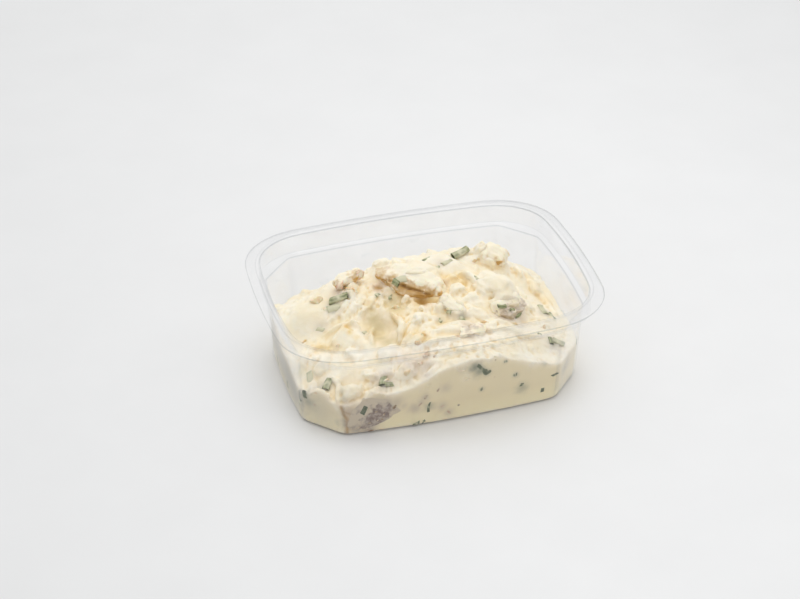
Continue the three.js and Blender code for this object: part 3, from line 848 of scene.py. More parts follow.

# What lies just under the dressing shows through it as soft stains, and the golden and dusky ones are
# painted shade in creases, hollows and under lumps: x, y, z, radius and strength.
STAINS = {
    "golden_shade": [
        (-18.4, -4, 22.5, 2.2, 0.5), (-19.2, -8, 22, 2, 0.6), (-18.4, -12, 21.4, 1.8, 0.5),
        (-12, -6.6, 24.8, 1.8, 0.9), (-9.4, -1.2, 24.6, 3, 1), (-11.4, 1.6, 24.4, 1.6, 0.7),
        (-27.2, -4.8, 22, 1.2, 1), (-26.2, -7.1, 22.3, 1.2, 1), (-25, -9.6, 22.2, 1.4, 0.8),
        (-38.9, -1.9, 18.1, 1.6, 0.6), (-37.6, -4.6, 18.6, 1.8, 0.8), (-36, -7, 18.8, 2.2, 0.9),
        (-33.8, -8.8, 19, 2.2, 0.8), (-32.9, -2.4, 19.5, 1.4, 0.6), (-5, -17.4, 22.8, 2.4, 0.6),
        (2.6, -13.2, 24.6, 2.6, 0.5), (14.6, 5.9, 27.4, 2.4, 0.7), (10.6, 6.2, 27.4, 2, 0.7),
        (30, 12, 26.5, 2.6, 0.9), (41, 11, 19.5, 2.6, 0.4), (43.2, 1, 16, 2.6, 0.4),
        (-0.5, -1, 24.4, 3.8, 1), (-6, 5.4, 25.6, 3, 0.9), (14, 3, 26.4, 2.4, 0.8),
        (17, -3, 25.4, 2.6, 0.8), (19, -8, 24.6, 2, 0.6), (6, -22.5, 24, 1.8, 0.4), (0, -20, 24, 1.6, 0.4),
        (2.3, -1, 25.2, 1.8, 1), (3.8, -2.7, 25.2, 1.8, 1), (-10.2, -13.8, 22.5, 1.2, 0.6),
        (-6.4, -14.2, 23.2, 1.6, 0.7), (-8, -15.2, 22.8, 1.4, 0.7), (-26.3, -3.5, 21.5, 1.4, 1),
        (-16, 7.5, 26.6, 2, 0.6), (-17.4, 3.4, 25.4, 2, 0.6), (-14.4, 3.8, 25.8, 1.6, 0.5),
    ],
    "dusky_shade": [
        (-17, 0.6, 22.2, 2.6, 0.7), (-16.8, -1.7, 21.2, 3, 0.95), (-16.2, -3.8, 20, 3, 0.95),
        (-17.4, -6.6, 20.2, 2.8, 0.9), (-16.8, -9.8, 19.8, 2.8, 0.95), (-15.4, -12.8, 20, 2.8, 0.9),
        (-12.6, -14.4, 20.6, 2.2, 0.6), (-13.6, -6.2, 20.4, 2, 0.4), (-9.2, 2.6, 24, 2.8, 0.9),
        (-9.4, -0.8, 24.6, 2.6, 1), (25.3, -13.4, 25, 1.6, 0.6), (27.9, -12.6, 24.6, 1.6, 0.7),
        (-30.5, -23.2, 15.2, 3, 0.4), (-25, -12.6, 21.6, 1.6, 0.6), (-35, -9, 19, 2, 0.5),
        (-21, 9.6, 26, 2.2, 0.7), (-28.4, 9.4, 24, 2.2, 0.6),
    ],
    # Brown: partly eel and seam showing through, partly painted shade in hollows and under the eel and its
    # bits
    "brown": [
        (-12, 10.4, 25, 2, 0.8), (-0.6, -0.6, 24.6, 1.8, 1), (0, -3.2, 25.4, 1.5, 0.9),
        (7.8, 4, 27, 1.6, 0.9), (-6, -24.4, 21.6, 1.7, 0.35), (-8.8, -26.4, 19.6, 1.4, 0.3),
        (-19.3, -32.9, 9.2, 0.8, 0.6),
    ],
    "green": [
        (-45.1, -21.4, 11, 2, 0.7), (-44, -22.6, 9, 2.2, 0.55), (-45.3, -19.5, 8.2, 1.6, 0.4),
        (-42.6, -24, 8.8, 0.8, 0.4), (6.9, -33.6, 19.8, 2, 0.85), (8.4, -33.5, 18, 2, 0.75),
        (10.6, -33.4, 16.8, 1.4, 0.6), (-7.8, -33.2, 7.4, 1.5, 0.5), (23, -32.7, 7.8, 1.9, 0.5),
        (30.8, -32.3, 17, 1.8, 0.6), (39.1, -27.6, 8.8, 2.2, 0.35), (9.3, -33.3, 10.6, 0.9, 0.4),
        (20.6, -32.9, 13.5, 1.1, 0.4), (17, -33.3, 20, 0.8, 0.4), (-29.5, -32.4, 10, 1.6, 0.4),
        (-12.1, -32.9, 0.9, 1.4, 0.4), (-37, -30, 4.7, 1.2, 0.3), (-27.8, 5.8, 22.6, 2, 0.7),
        (-33.3, 2, 19.8, 2.2, 0.25), (-21.5, -7, 22.4, 1.6, 0.4), (6, -10.6, 26.2, 1.8, 0.45),
        (9, -13.4, 25.4, 1.9, 0.5), (2.2, -11.4, 25, 1.5, 0.4), (39.4, -8, 18.4, 2.4, 0.5),
        (9.6, 12, 30.4, 2, 0.3), (-4.4, 9.4, 29, 2.2, 0.5), (36.6, -22.8, 16, 2.4, 0.5),
        (-11.6, 6, 26, 1.6, 0.4), (-22, -29, 15, 2.4, 0.5), (-39.6, -21, 14, 2.4, 0.5),
    ],
    # Mauve: eel showing through, with some painted shade in the recess behind the front wall
    "mauve": [
        (-32.5, -32.2, 12, 2.4, 0.3), (-24, -33, 12.4, 2.8, 0.45), (-18.6, -33, 11, 2.4, 0.5),
        (-30.5, -32.4, 7, 3.6, 0.8), (-30.6, -32.4, 2.8, 3.4, 0.9), (-27.4, -33, 1.8, 3.2, 1),
        (-12.5, -33.1, 7.5, 2, 0.5), (-16.1, -33, 9.3, 1.4, 0.35), (-10.4, -33.2, 9.6, 1.4, 0.45),
        (-2.7, -33.5, 13.8, 1.9, 0.35), (-3.6, -33.2, 6.3, 1.9, 0.45), (-1.3, -33.2, 3.8, 1.6, 0.5),
        (27, -12.6, 22.6, 4, 0.5), (22.5, -14.6, 23.6, 3, 0.45), (10, -20, 24.4, 3, 0.5),
        (-9.2, -33.3, 11.2, 1.5, 0.5), (2.5, -33.6, 19.5, 1.6, 0.2), (-33.2, -31.7, 9.5, 2.6, 0.6),
        (-33.4, -31.6, 5, 2.4, 0.7), (-28, -32.4, 10.6, 2.6, 0.7), (-21.5, -32.6, 11.4, 2.4, 0.7),
        (-12.7, -23.2, 20, 3.5, 0.4), (-10.6, -27, 19.5, 3.5, 0.5), (-8.1, -28.7, 19, 3, 0.45),
        (-20.5, -27, 16.4, 2.6, 0.6), (-25, 12, 26, 2.6, 0.4), (40.6, -26, 10.6, 2.6, 0.35),
    ],
}
# The brown seam that runs down the wall at its front left corner, and the pale streak beside it
SEAM = [
    (-37, -30, 13.9), (-36, -31, 12.1), (-35.4, -31.5, 8.8), (-34.6, -32, 6.7), (-34.7, -32, 4.1),
    (-34.8, -31.9, 1),
]
SEAM_BRANCH = [(-35.3, -31.7, 9.7), (-34.1, -32, 9), (-32.9, -32.1, 8.5)]
SEAM_STREAK = [(-38.6, -28.4, 12.8), (-37.6, -29.3, 11.4), (-36.9, -29.9, 10.2)]
# The left wall, where the salad is painted greyer than in front: painted shade, as that side turns from the
# light
SHADED_SIDE = [(-46.4, -13, 8), (-47, 8, 11), (-46, 17, 10)]
# The dark line of painted shade where the salad leaves the left wall for the corner
CORNER_LINE = [(-45.9, -18.5, 16), (-45.7, -18.5, 12.4), (-45.4, -18.2, 8.6)]


def trail(line, radius, strength, steps=12, to_wall=True):
    """Stains that follow one another closely along a line, on the wall or free of it."""
    stops = np.linspace(0, len(line) - 1, steps * len(line))
    x, y, z = (np.interp(stops, range(len(line)), values) for values in zip(*line))
    if to_wall:
        angle = np.arctan2(y, x)
        edge = wall_radius(angle, z)
        x, y = edge * np.cos(angle), edge * np.sin(angle)
    return [(*place, radius, strength) for place in zip(x, y, z)]


STAINS["brown"] += trail(SEAM, 0.65, 0.85) + trail(SEAM_BRANCH, 0.5, 0.7)
STAINS["pale"] = trail(SEAM_STREAK, 0.7, 0.7)
STAINS["corner_shade"] = trail(CORNER_LINE, 0.7, 0.6)
# Painted shade on the left wall and the front left corner
STAINS["side_shade"] = trail(SHADED_SIDE, 9.0, 0.9) + [(-42.5, -25.0, 7.0, 6.0, 0.3)]
# Stain tones: golden, dusky, grey and slate are painted shade, brown and mauve partly so.
STAIN_TONES = {
    "golden_shade": srgb(240, 212, 150), "dusky_shade": srgb(216, 200, 158), "brown": srgb(174, 128, 50),
    "green": srgb(122, 128, 114), "mauve": srgb(178, 162, 152),
    "pale": srgb(246, 236, 212), "side_shade": srgb(164, 160, 148), "corner_shade": srgb(104, 112, 110),
}


def stained(points, stains):
    """How strongly each point is stained, from 0 to 1, with ragged edges."""
    ragged = 1 + 0.5 * wavy(points, 1.4, 3)
    total = np.zeros(len(points))
    for x, y, z, radius, strength in stains:
        away = ((points - (x, y, z)) ** 2).sum(1) * ragged / radius**2
        total = np.maximum(total, strength * np.exp(-away))
    return total


for name, stains in STAINS.items():
    # The left wall's painted shade only where the salad is pressed to it
    only_where = (pressed * inside).ravel() if name == "side_shade" else 1
    paint(salad, name, stained(positions(salad), stains) * only_where)


def bump(tree, height, strength, depth):
    """A relief of the surface, that many mm deep."""
    return shade(tree, "Bump", {"Height": height, "Strength": strength, "Distance": depth * MM}).outputs[0]


def soft_food(tree, tone, roughness, scatter, depth, more=()):
    """Gives the material a surface that light sinks into: what share of it, and how many mm deep."""
    inputs = {"Base Color": tone, "Roughness": roughness, "IOR": 1.4, "Subsurface Weight": scatter,
              "Subsurface Scale": depth * MM, **dict(more)}
    cover(tree, shade(tree, "BsdfPrincipled", inputs))


PALE_TONE = srgb(254, 244, 226)
WARM_TONE = srgb(253, 238, 210)
CURD_TONE = srgb(250, 231, 196)
# Painted shade in the dips and creases
DIP_SHADE_TONE = srgb(245, 226, 180)
CREASE_SHADE_TONE = srgb(230, 204, 146)
# Painted shade where the salad is pressed to the wall, as the upright wall gets less light than the top;
# painted lighter again near the floor
PRESSED_SHADE_TONE = srgb(232, 217, 180)
LOW_LIGHTER_TONE = srgb(248, 236, 196)
LOW_REACH = 8 * MM
cream, tree, place = new_material("cream")
tone = blend_colour(tree, spread(tree, grain(tree, place, 9), 0.35, 0.65), PALE_TONE, WARM_TONE)
curds = spread(tree, grain(tree, place, 1.6, detail=4), 0.42, 0.68, 0, 0.3)
tone = blend_colour(tree, curds, tone, CURD_TONE)
height = shade(tree, "SeparateXYZ", {0: place}).outputs["Z"]
# Painted shade on the wall, lighter towards the floor
pressed_shade_tone = blend_colour(tree, spread(tree, height, 0.0, LOW_REACH), LOW_LIGHTER_TONE, PRESSED_SHADE_TONE)
tone = painted(tree, tone, [
    ("dip", 0.1, 0.9, 0.65, DIP_SHADE_TONE),
    ("crease", 0.2, 1.0, 0.65, CREASE_SHADE_TONE),
    ("pressed", 0.2, 1.0, 0.9, pressed_shade_tone),
    *((name, 0, 1, 1, stain_tone) for name, stain_tone in STAIN_TONES.items()),
])
fine = grain(tree, place, 0.8, detail=5, distortion=0.8)
worn = spread(tree, painted_number(tree, "pressed"), 0.0, 0.6, 0.42, 0.05)
soft_food(
    tree, tone, spread(tree, fine, 0.3, 0.7, 0.45, 0.65), 0.4, 0.8,
    {"Subsurface Radius": (1.0, 0.9, 0.7), "Normal": bump(tree, fine, worn, 0.3)},
)
salad.data.materials.clear()
salad.data.materials.append(cream)
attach(salad, "root")
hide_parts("salad")
salad_surface = surface_of(salad)


# The larger pieces are smoked eel torn by hand: beige flesh that parts in thin flakes, golden brown
# underneath from the smoke and painted darker there as shade, with a film of dressing over most of the top.
# They lie half sunk in the salad.
FLAKE = 1.9
FLAKE_DEPTH = 0.16
FIBRE_DEPTH = 0.22
TORN_DEPTH = 0.8
FILM_DEPTH = 0.05
EEL_FACES_LEVEL = 3
DRESSING = srgb(253, 241, 217)
GILT_TONE = srgb(196, 154, 86)
# Painted shade in the split between the fillet's layers
SPLIT_SHADE_TONE = srgb(142, 98, 40)
SPLIT_DEPTH = 0.6
SPLIT_WIDTH = 0.55
# x, y, z, radius, strength: where the flesh shows through the film
BARE = {
    "eel_fillet": [
        (-11.6, 14, 28, 4.8, 1), (-8.7, 9.4, 27.6, 3.2, 1), (-5.4, 5.2, 27.2, 3.2, 1),
        (-3.1, 2.8, 27, 3, 1), (-0.9, 1, 26.8, 3, 1), (1.4, -0.8, 26.6, 3, 1), (5.6, -2.4, 26.6, 2.6, 0.9),
    ],
    "eel_strip": [(2.6, -2.6, 25.4, 3, 1), (5, -5, 25.6, 2, 0.6)],
    "eel_back": [(28.6, 10.6, 26.8, 3, 0.65), (25.6, 12, 27.4, 2, 0.4), (33.6, 14, 28.6, 2.2, 0.4)],
    "eel_left": [(-24.4, 12.6, 26.6, 2.4, 0.8), (-18.4, 15.4, 27.6, 2.4, 0.9)],
    "eel_skinned": [(31.4, -10, 23, 3, 0.9), (28.6, -13.6, 23, 3.2, 1), (24, -15.4, 24.4, 3.2, 1)],
    "eel_front": [(9.5, -20.5, 24.8, 2.6, 0.8), (13, -20, 25, 2, 0.5)],
    "eel_window": [
        (-25.6, -33, 6.4, 4.6, 1), (-29.4, -33, 3, 3.4, 0.8), (-21.6, -33, 9.8, 2.6, 0.8),
        (-26, -33, 2, 3, 0.9), (-30.6, -33, 7, 2.8, 0.6), (-31.6, -33, 3, 3, 0.7),
    ],
}
# The same for where the flesh is golden brown from the smoke
GILT = {
    "eel_fillet": [
        (-10.6, 11.4, 26.8, 2, 0.7), (-8.2, 8.6, 27.4, 2, 0.8), (-5.4, 5.2, 27.4, 2.4, 1),
        (-3.1, 2.8, 27, 2.4, 1), (-0.9, 1, 26.8, 2.4, 1), (1.4, -0.8, 26.6, 2.4, 1),
        (5, -2.6, 26.4, 2, 0.7),
    ],
    "eel_strip": [(4.5, -4.7, 27.5, 3, 0.8), (0, -1, 25, 3, 0.8)],
    "eel_back": [(28.7, 10.8, 26.6, 2.4, 0.5)],
}
# The fillet's flesh parts in two layers along this line, which is painted dark as the shade in the gap
SPLIT_LINE = [
    (-9.6, 10.6, 27.6), (-7.4, 8, 27.8), (-5.1, 5.4, 27.9), (-3.1, 3.3, 27.4), (-0.9, 1.5, 27.4),
    (0.9, -0.4, 27.1), (3, -1.9, 26.8),
]
SPLIT = {"eel_fillet": trail(SPLIT_LINE, SPLIT_WIDTH, 1.0, steps=8, to_wall=False)}


def own_axes(points):
    """The middle of the points, and the directions of their longest, middle and shortest spread."""
    middle = points.mean(0)
    axes = np.linalg.eigh(np.cov((points - middle).T))[1].T[::-1].copy()
    axes[2] = np.cross(axes[0], axes[1])
    return middle, axes


def flaked(piece, film):
    """The piece's points with its flakes and fibres cut in where no film of dressing fills them."""
    points = positions(piece)
    middle, axes = own_axes(points)
    along, across, out = ((points - middle) @ axes.T).T
    step = (along + 0.6 * np.abs(across) + 2.4 * wavy(points, 4.0)) / FLAKE
    groove = np.exp(-(((step % 1) - 0.5) / 0.22) ** 2) * np.clip(0.5 + 1.2 * wavy(points, 2.6, 9), 0, 1)
    stretched = np.column_stack([along / 4, across * 1.3, out * 1.3])
    fibres = wavy(stretched, 1.0) + wavy(points, 2.4, 3)
    bare = 1 - film
    points = points + normals(piece) * (TORN_DEPTH * wavy(points, 3.4, 11))[:, None]
    relief = FIBRE_DEPTH * fibres * (0.35 + 0.65 * bare) - FLAKE_DEPTH * groove * bare + FILM_DEPTH * film
    return points + normals(piece) * relief[:, None], groove


def eel_material(name, pale, deep, groove_shade_tone, under_smoke_and_shade_tone=None, coat=DRESSING, mottle_size=1.6):
    """Flesh mottled between two tones, with painted shade in its grooves, golden brown underneath from the
    smoke and painted shade, partly coated.
    """
    made, tree, place = new_material(name)
    mottle = spread(tree, grain(tree, place, mottle_size, detail=4, distortion=0.6), 0.38, 0.62)
    tone = blend_colour(tree, mottle, pale, deep)
    # Painted shade: the grooves are painted darker.
    tone = painted(tree, tone, [("groove", 0.2, 1.0, 0.6, groove_shade_tone)])
    if under_smoke_and_shade_tone:
        out = shade(tree, "SeparateXYZ", {0: shade(tree, "NewGeometry").outputs["Normal"]}).outputs["Z"]
        ragged = spread(tree, grain(tree, place, 2.2, detail=4), 0.3, 0.7, -0.35, 0.35)
        rise = maths(tree, "ADD", out, ragged)
        # Faces turned down get golden brown, partly the smoke's colour and partly painted shade.
        tone = blend_colour(tree, spread(tree, rise, 0.6, 0.0), tone, under_smoke_and_shade_tone)
        tone = painted(tree, tone, [("gilt", 0, 1, 1, GILT_TONE), ("split", 0, 1, 1, SPLIT_SHADE_TONE)])
    ragged = spread(tree, grain(tree, place, 1.3, detail=5), 0.3, 0.7, -0.4, 0.4)
    torn_film = maths(tree, "ADD", painted_number(tree, "film"), ragged)
    tone = blend_colour(tree, spread(tree, torn_film, 0.2, 0.8), tone, coat)
    fine = grain(tree, place, 0.6, detail=4)
    soft_food(
        tree, tone, spread(tree, fine, 0.3, 0.7, 0.3, 0.5), 0.4, 1.0,
        {"Subsurface Radius": (1.0, 0.8, 0.5), "Normal": bump(tree, fine, 0.3, 0.15)},
    )
    return made


# Tones: pale and deep flesh, painted shade in the grooves, and golden brown underneath that is partly
# painted shade.
plain_eel = eel_material(
    "eel_flesh", srgb(240, 224, 198), srgb(226, 202, 160), srgb(208, 170, 112), srgb(214, 172, 100)
)
skinned_eel = eel_material(
    "skinned_eel_flesh", srgb(230, 216, 196), srgb(212, 198, 180), srgb(190, 172, 150), srgb(186, 168, 140)
)
# The eel at the wall: its dressing film is painted darker, painted shade like the dressing pressed to the
# wall.
window_eel = eel_material(
    "window_eel_flesh", srgb(186, 172, 158), srgb(138, 120, 112), srgb(122, 102, 96),
    coat=srgb(206, 192, 170), mottle_size=1.5,
)


def eel_piece(node, material):
    """One piece of eel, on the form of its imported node."""
    piece = bare_copy(node, node + "_torn")
    add_modifier(piece, "SUBSURF", levels=EEL_FACES_LEVEL, render_levels=EEL_FACES_LEVEL)
    rand = random.Random(node)
    middle, axes = own_axes(positions(piece))
    local = (positions(piece) - middle) @ axes.T
    half = np.abs(local).max(0)
    move_vertices(piece, torn(local / half, 2 * half, rand, 16, 0.03, (0.78, 0.97)) @ axes + middle)
    add_modifier(piece, "SMOOTH", factor=0.5, iterations=12)
    start = positions(piece)
    bare = stained(start, BARE[node]) + 0.35 * wavy(start, 1.8, 5)
    film = np.clip(1 - (bare - 0.15) / 0.5, 0, 1)
    places, groove = flaked(piece, film)
    split = stained(places, SPLIT.get(node, []))
    move_vertices(piece, places - normals(piece) * (SPLIT_DEPTH * split)[:, None])
    gilt = stained(places, GILT.get(node, []))
    for name, values in {"split": split, "groove": groove, "film": film, "gilt": gilt}.items():
        paint(piece, name, values)
    piece.data.materials.append(material)
    bpy.ops.object.shade_smooth()
    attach(piece, "root")
    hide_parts(node)
    return piece


on_top = [eel_piece(node, plain_eel) for node in ("eel_fillet", "eel_strip", "eel_back", "eel_left")]
on_top += [eel_piece(node, skinned_eel) for node in ("eel_skinned", "eel_front")]
top_surfaces = [salad_surface] + [surface_of(piece) for piece in on_top]

# One more piece is pressed flat against the front wall near its left end.
WINDOW_STRETCH = 1.9
WINDOW_SHIFT = 0.8
in_window = eel_piece("eel_window", window_eel)
places = positions(in_window)
behind = places[:, 1].max()
places[:, 1] = behind + (places[:, 1] - behind) * WINDOW_STRETCH
places[:, 0] -= WINDOW_SHIFT
move_vertices(in_window, kept_in_tub(places, 0.03)[0])


# Small bits of eel that came off the pieces lie all over the heap and against the wall: beige and
# golden flesh, and some pinkish or brown from the smoke.
BIT_CUTS = 10
BIT_DENT = 0.08
# Tones from 0, pale, over these two to 1, brown
GOLDEN, PINK = 0.34, 0.67
# x, y, length, width, thickness, heading, how far it stands out, tone
TOP_BITS = [
    (-16.9, 15.5, 4.6, 3.6, 3.6, 10, 1.5, 0.6), (-24.4, 12.2, 5, 3, 2.6, 60, 0.5, 0.6),
    (-21.2, 9.6, 4.6, 2.4, 2.4, -52, 0.7, 0.3), (-32.4, 11.4, 4.4, 3.8, 4, 20, 2, 0.12),
    (-30.9, 7.3, 3, 2.6, 2.6, 40, 0.6, 0.1), (-9.2, -1, 3.4, 2.4, 2, 20, 0.9, 0.2),
    (15, -16.3, 3.8, 1.1, 1.2, -14, 0.5, 0.4), (-5, -17.6, 2.2, 1.2, 1.2, -30, 0.5, 0.34),
    (-39.4, 0.4, 2.2, 1.4, 1.4, 20, 0.5, 0.34), (-7.6, -19.6, 2.8, 1.8, 1.8, 20, 0.9, 0.5),
    (-6, -24.3, 3, 1.9, 1.8, 20, 1, 0.6), (-8.8, -26.4, 2.4, 1.5, 1.6, -10, 0.9, 0.55),
    (-4, -26.6, 1.8, 1, 1.2, 30, 0.6, 0.6), (26, -16.8, 2.4, 1, 1.2, -10, 0.5, 0.2),
    (22, 13.6, 2.2, 1.2, 1.4, 30, 0.6, 0.2), (-20, -27, 3.2, 2, 2, 10, 1, 0.1),
    (-14, -29.5, 2.8, 1.8, 1.8, 30, 0.9, 0.15), (36, -16, 2.2, 1.4, 1.4, 60, 0.7, 0.1),
    (42, 7, 2.6, 1.4, 1.6, 70, 0.7, 0.1), (4.6, -22.6, 2.4, 1, 1.2, -20, 0.6, 0.5),
    (-31, -9.6, 1.8, 1.2, 1.4, 10, 0.6, 0.3), (-18, 27, 3, 2, 1.8, 20, 0.8, 0.2),
    (1, 29, 2.6, 1.8, 1.6, 60, 0.7, 0.4), (29, 26.5, 2.8, 1.8, 1.8, -30, 0.8, 0.1),
]
# x, y, z, tilt, length, width, tone: the bits that are pressed against the wall
WALL_BITS = [
    (-19.3, -32.9, 9.2, 60, 2.2, 1.3, 1), (-9, -33.3, 11.5, 58, 2.4, 1, 0.9),
    (-10.9, -33.2, 8.8, 50, 1.8, 0.8, 0.82), (-5.2, -33.5, 13.3, 68, 2.1, 0.8, 0.85),
    (-1.3, -33.2, 3.8, -50, 2.2, 0.7, 0.75), (2.5, -33.6, 19.5, 5, 2.8, 0.6, 0.6),
    (1.8, -33.2, 5.9, 0, 0.9, 0.8, 1), (13.2, -33.5, 22.6, 0, 0.6, 0.5, 0.9),
    (13.5, -33.4, 21.2, 0, 0.5, 0.5, 0.9), (13.5, -33.2, 14.5, 0, 0.6, 0.5, 0.8),
    (-31.1, -32.2, 3, 32, 2.3, 0.5, 0.9), (-26.9, -32.4, 1, 4, 2.2, 0.8, 1),
    (-24.8, -32.8, 5, 50, 1.3, 0.6, 0.92), (-22.6, -32.8, 7, 70, 1.4, 0.6, 0.92),
    (-25.2, -32.7, 8.4, 20, 1.2, 0.6, 0.92), (-27.8, -32.7, 9.8, 60, 1.2, 0.5, 0.92),
    (-23.4, -32.8, 5.2, -30, 1.4, 0.6, 0.92), (-27.4, -32.4, 4.2, 10, 1.3, 0.6, 0.9),
    (-42, -24.7, 13.8, 10, 1.6, 0.8, 0.5), (-42.6, -24, 8.8, 0, 1.2, 0.8, 0.8),
    (-3.6, -33.2, 6.6, 30, 1.8, 0.6, 0.7), (4.6, -33.4, 15.4, 20, 2.2, 0.4, 0.5),
]


def on_salad(x, y, heading):
    """The place on the salad's surface over x, y, and unit vectors along, across and out there."""
    hits = [met_from_above(surface, x, y) for surface in top_surfaces]
    hit, out = max((found for found in hits if found[0]), key=lambda found: found[0].z)
    out = (np.array(out) + 2 * slope_frame(x, y, 0)[2]) / 3
    return np.array(hit) / MM, axes_on(out, heading)


def on_wall(x, y, z, tilt):
    """The place on the inside of the wall near x, y, z, and unit vectors along, across and out."""
    angle = math.atan2(y, x)
    spot = [np.array([*(float(wall_radius(a, z)) * np.array([math.cos(a), math.sin(a)])), z])
            for a in (angle - 0.02, angle, angle + 0.02)]
    level = spot[2] - spot[0]
    level /= np.linalg.norm(level)
    along = level * math.cos(tilt) + np.array([0, 0, 1]) * math.sin(tilt)
    out = np.array([level[1], -level[0], 0])
    return spot[1], np.array([along, np.cross(out, along), out])


def copies_of(faces, placed):
    """The points of all the placed copies of one form, and all their faces."""
    count = len(placed[0])
    return np.concatenate(placed), np.concatenate([faces + i * count for i in range(len(placed))])


def bit_set():
    """Points, faces and tones of all the small bits."""
    rand = random.Random(23)
    ball, faces = lump_model(3)
    sets, tones = [], []
    for x, y, length, width, thickness, heading, proud, tone in TOP_BITS:
        middle, axes = on_salad(x, y, math.radians(heading))
        bit = torn(ball, (length, width, thickness), rand, BIT_CUTS, BIT_DENT)
        sets.append(bit @ axes + middle + axes[2] * (proud - thickness / 2))
        tones.append(tone)
    for x, y, z, tilt, length, width, tone in WALL_BITS:
        middle, axes = on_wall(x, y, z, math.radians(tilt))
        bit = torn(ball, (length, width, 1.0), rand, BIT_CUTS, BIT_DENT)
        sets.append(kept_in_tub(bit @ axes + middle - axes[2] * 0.1, 0.06)[0])
        tones.append(tone)
    return *copies_of(faces, sets), np.repeat(tones, len(ball))


places, faces, tones = bit_set()
bits = mesh_piece("eel_bits", places, faces)
bare = 0.4 + 0.9 * wavy(places, 1.3, 5)
paint(bits, "film", np.clip(1 - (bare - 0.2) / 0.3, 0, 1) * np.where(places[:, 2] > TOP_FROM, 0.8, 0.3))
paint(bits, "tone", tones)
select_only(bits)
bpy.ops.object.shade_smooth()
eel_bit, tree, place = new_material("eel_bit")
ramp = shade(tree, "ValToRGB", {0: painted_number(tree, "tone")})
ramp.color_ramp.elements[0].color = srgb(230, 212, 178)
ramp.color_ramp.elements[1].color = srgb(120, 88, 58)
ramp.color_ramp.elements.new(GOLDEN).color = srgb(222, 184, 116)
ramp.color_ramp.elements.new(PINK).color = srgb(216, 184, 160)
mottle = spread(tree, grain(tree, place, 0.9, detail=4), 0.35, 0.65, 0, 0.4)
tone = blend_colour(tree, mottle, ramp.outputs[0], srgb(238, 222, 190))
soft_food(tree, painted(tree, tone, [("film", 0, 1, 1, DRESSING)]), 0.42, 0.3, 0.8)
bits.data.materials.append(eel_bit)
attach(bits, "root")


# The chives are cut across into short hollow tubes of dark green leaf. They lie flattened and
# bent in the dressing, which coats most of them, and some are pressed against the front wall.
CHIVE_RADIUS = 1.05
CHIVE_WALL = 0.3
CHIVE_SIDES = 16
CHIVE_STEPS = 8
CHIVE_STRIPES = 5


def chive_model():
    """Points and faces of a straight hollow tube from -1 to 1 along X, of radius 1."""
    angles = np.linspace(0, 2 * math.pi, CHIVE_SIDES, endpoint=False)
    circle = np.column_stack([np.cos(angles), np.sin(angles)])
    stops = np.linspace(-1, 1, CHIVE_STEPS + 1)
    inner = 1 - CHIVE_WALL / CHIVE_RADIUS
    rings = [(x, 1.0) for x in stops] + [(x, inner) for x in stops[::-1]]
    points = np.array([(x, *(side * radius)) for x, radius in rings for side in circle])
    faces = []
    for level in range(len(rings)):
        for i in range(CHIVE_SIDES):
            step = (i + 1) % CHIVE_SIDES
            low, high = level * CHIVE_SIDES, (level + 1) % len(rings) * CHIVE_SIDES
            faces.append((low + i, high + i, high + step, low + step))
    inside = np.repeat([0.0] * len(stops) + [1.0] * len(stops), CHIVE_SIDES)
    stripe = np.tile(0.5 + 0.5 * np.cos(CHIVE_STRIPES * angles), len(rings))
    return points, np.array(faces), inside, stripe


chive_points, chive_faces, chive_inside, chive_stripe = chive_model()


def bent_chive(length, thick, squash, bend, slant):
    """The tube at its real size, flattened, bent in an arc and cut a little askew."""
    points = chive_points.copy()
    x = points[:, 0] * length / 2 + points[:, 1] * slant * points[:, 0] ** 2
    y = points[:, 1] * CHIVE_RADIUS * thick / math.sqrt(squash)
    z = points[:, 2] * CHIVE_RADIUS * thick * squash
    return np.column_stack([x, y + bend * points[:, 0] ** 2, z])


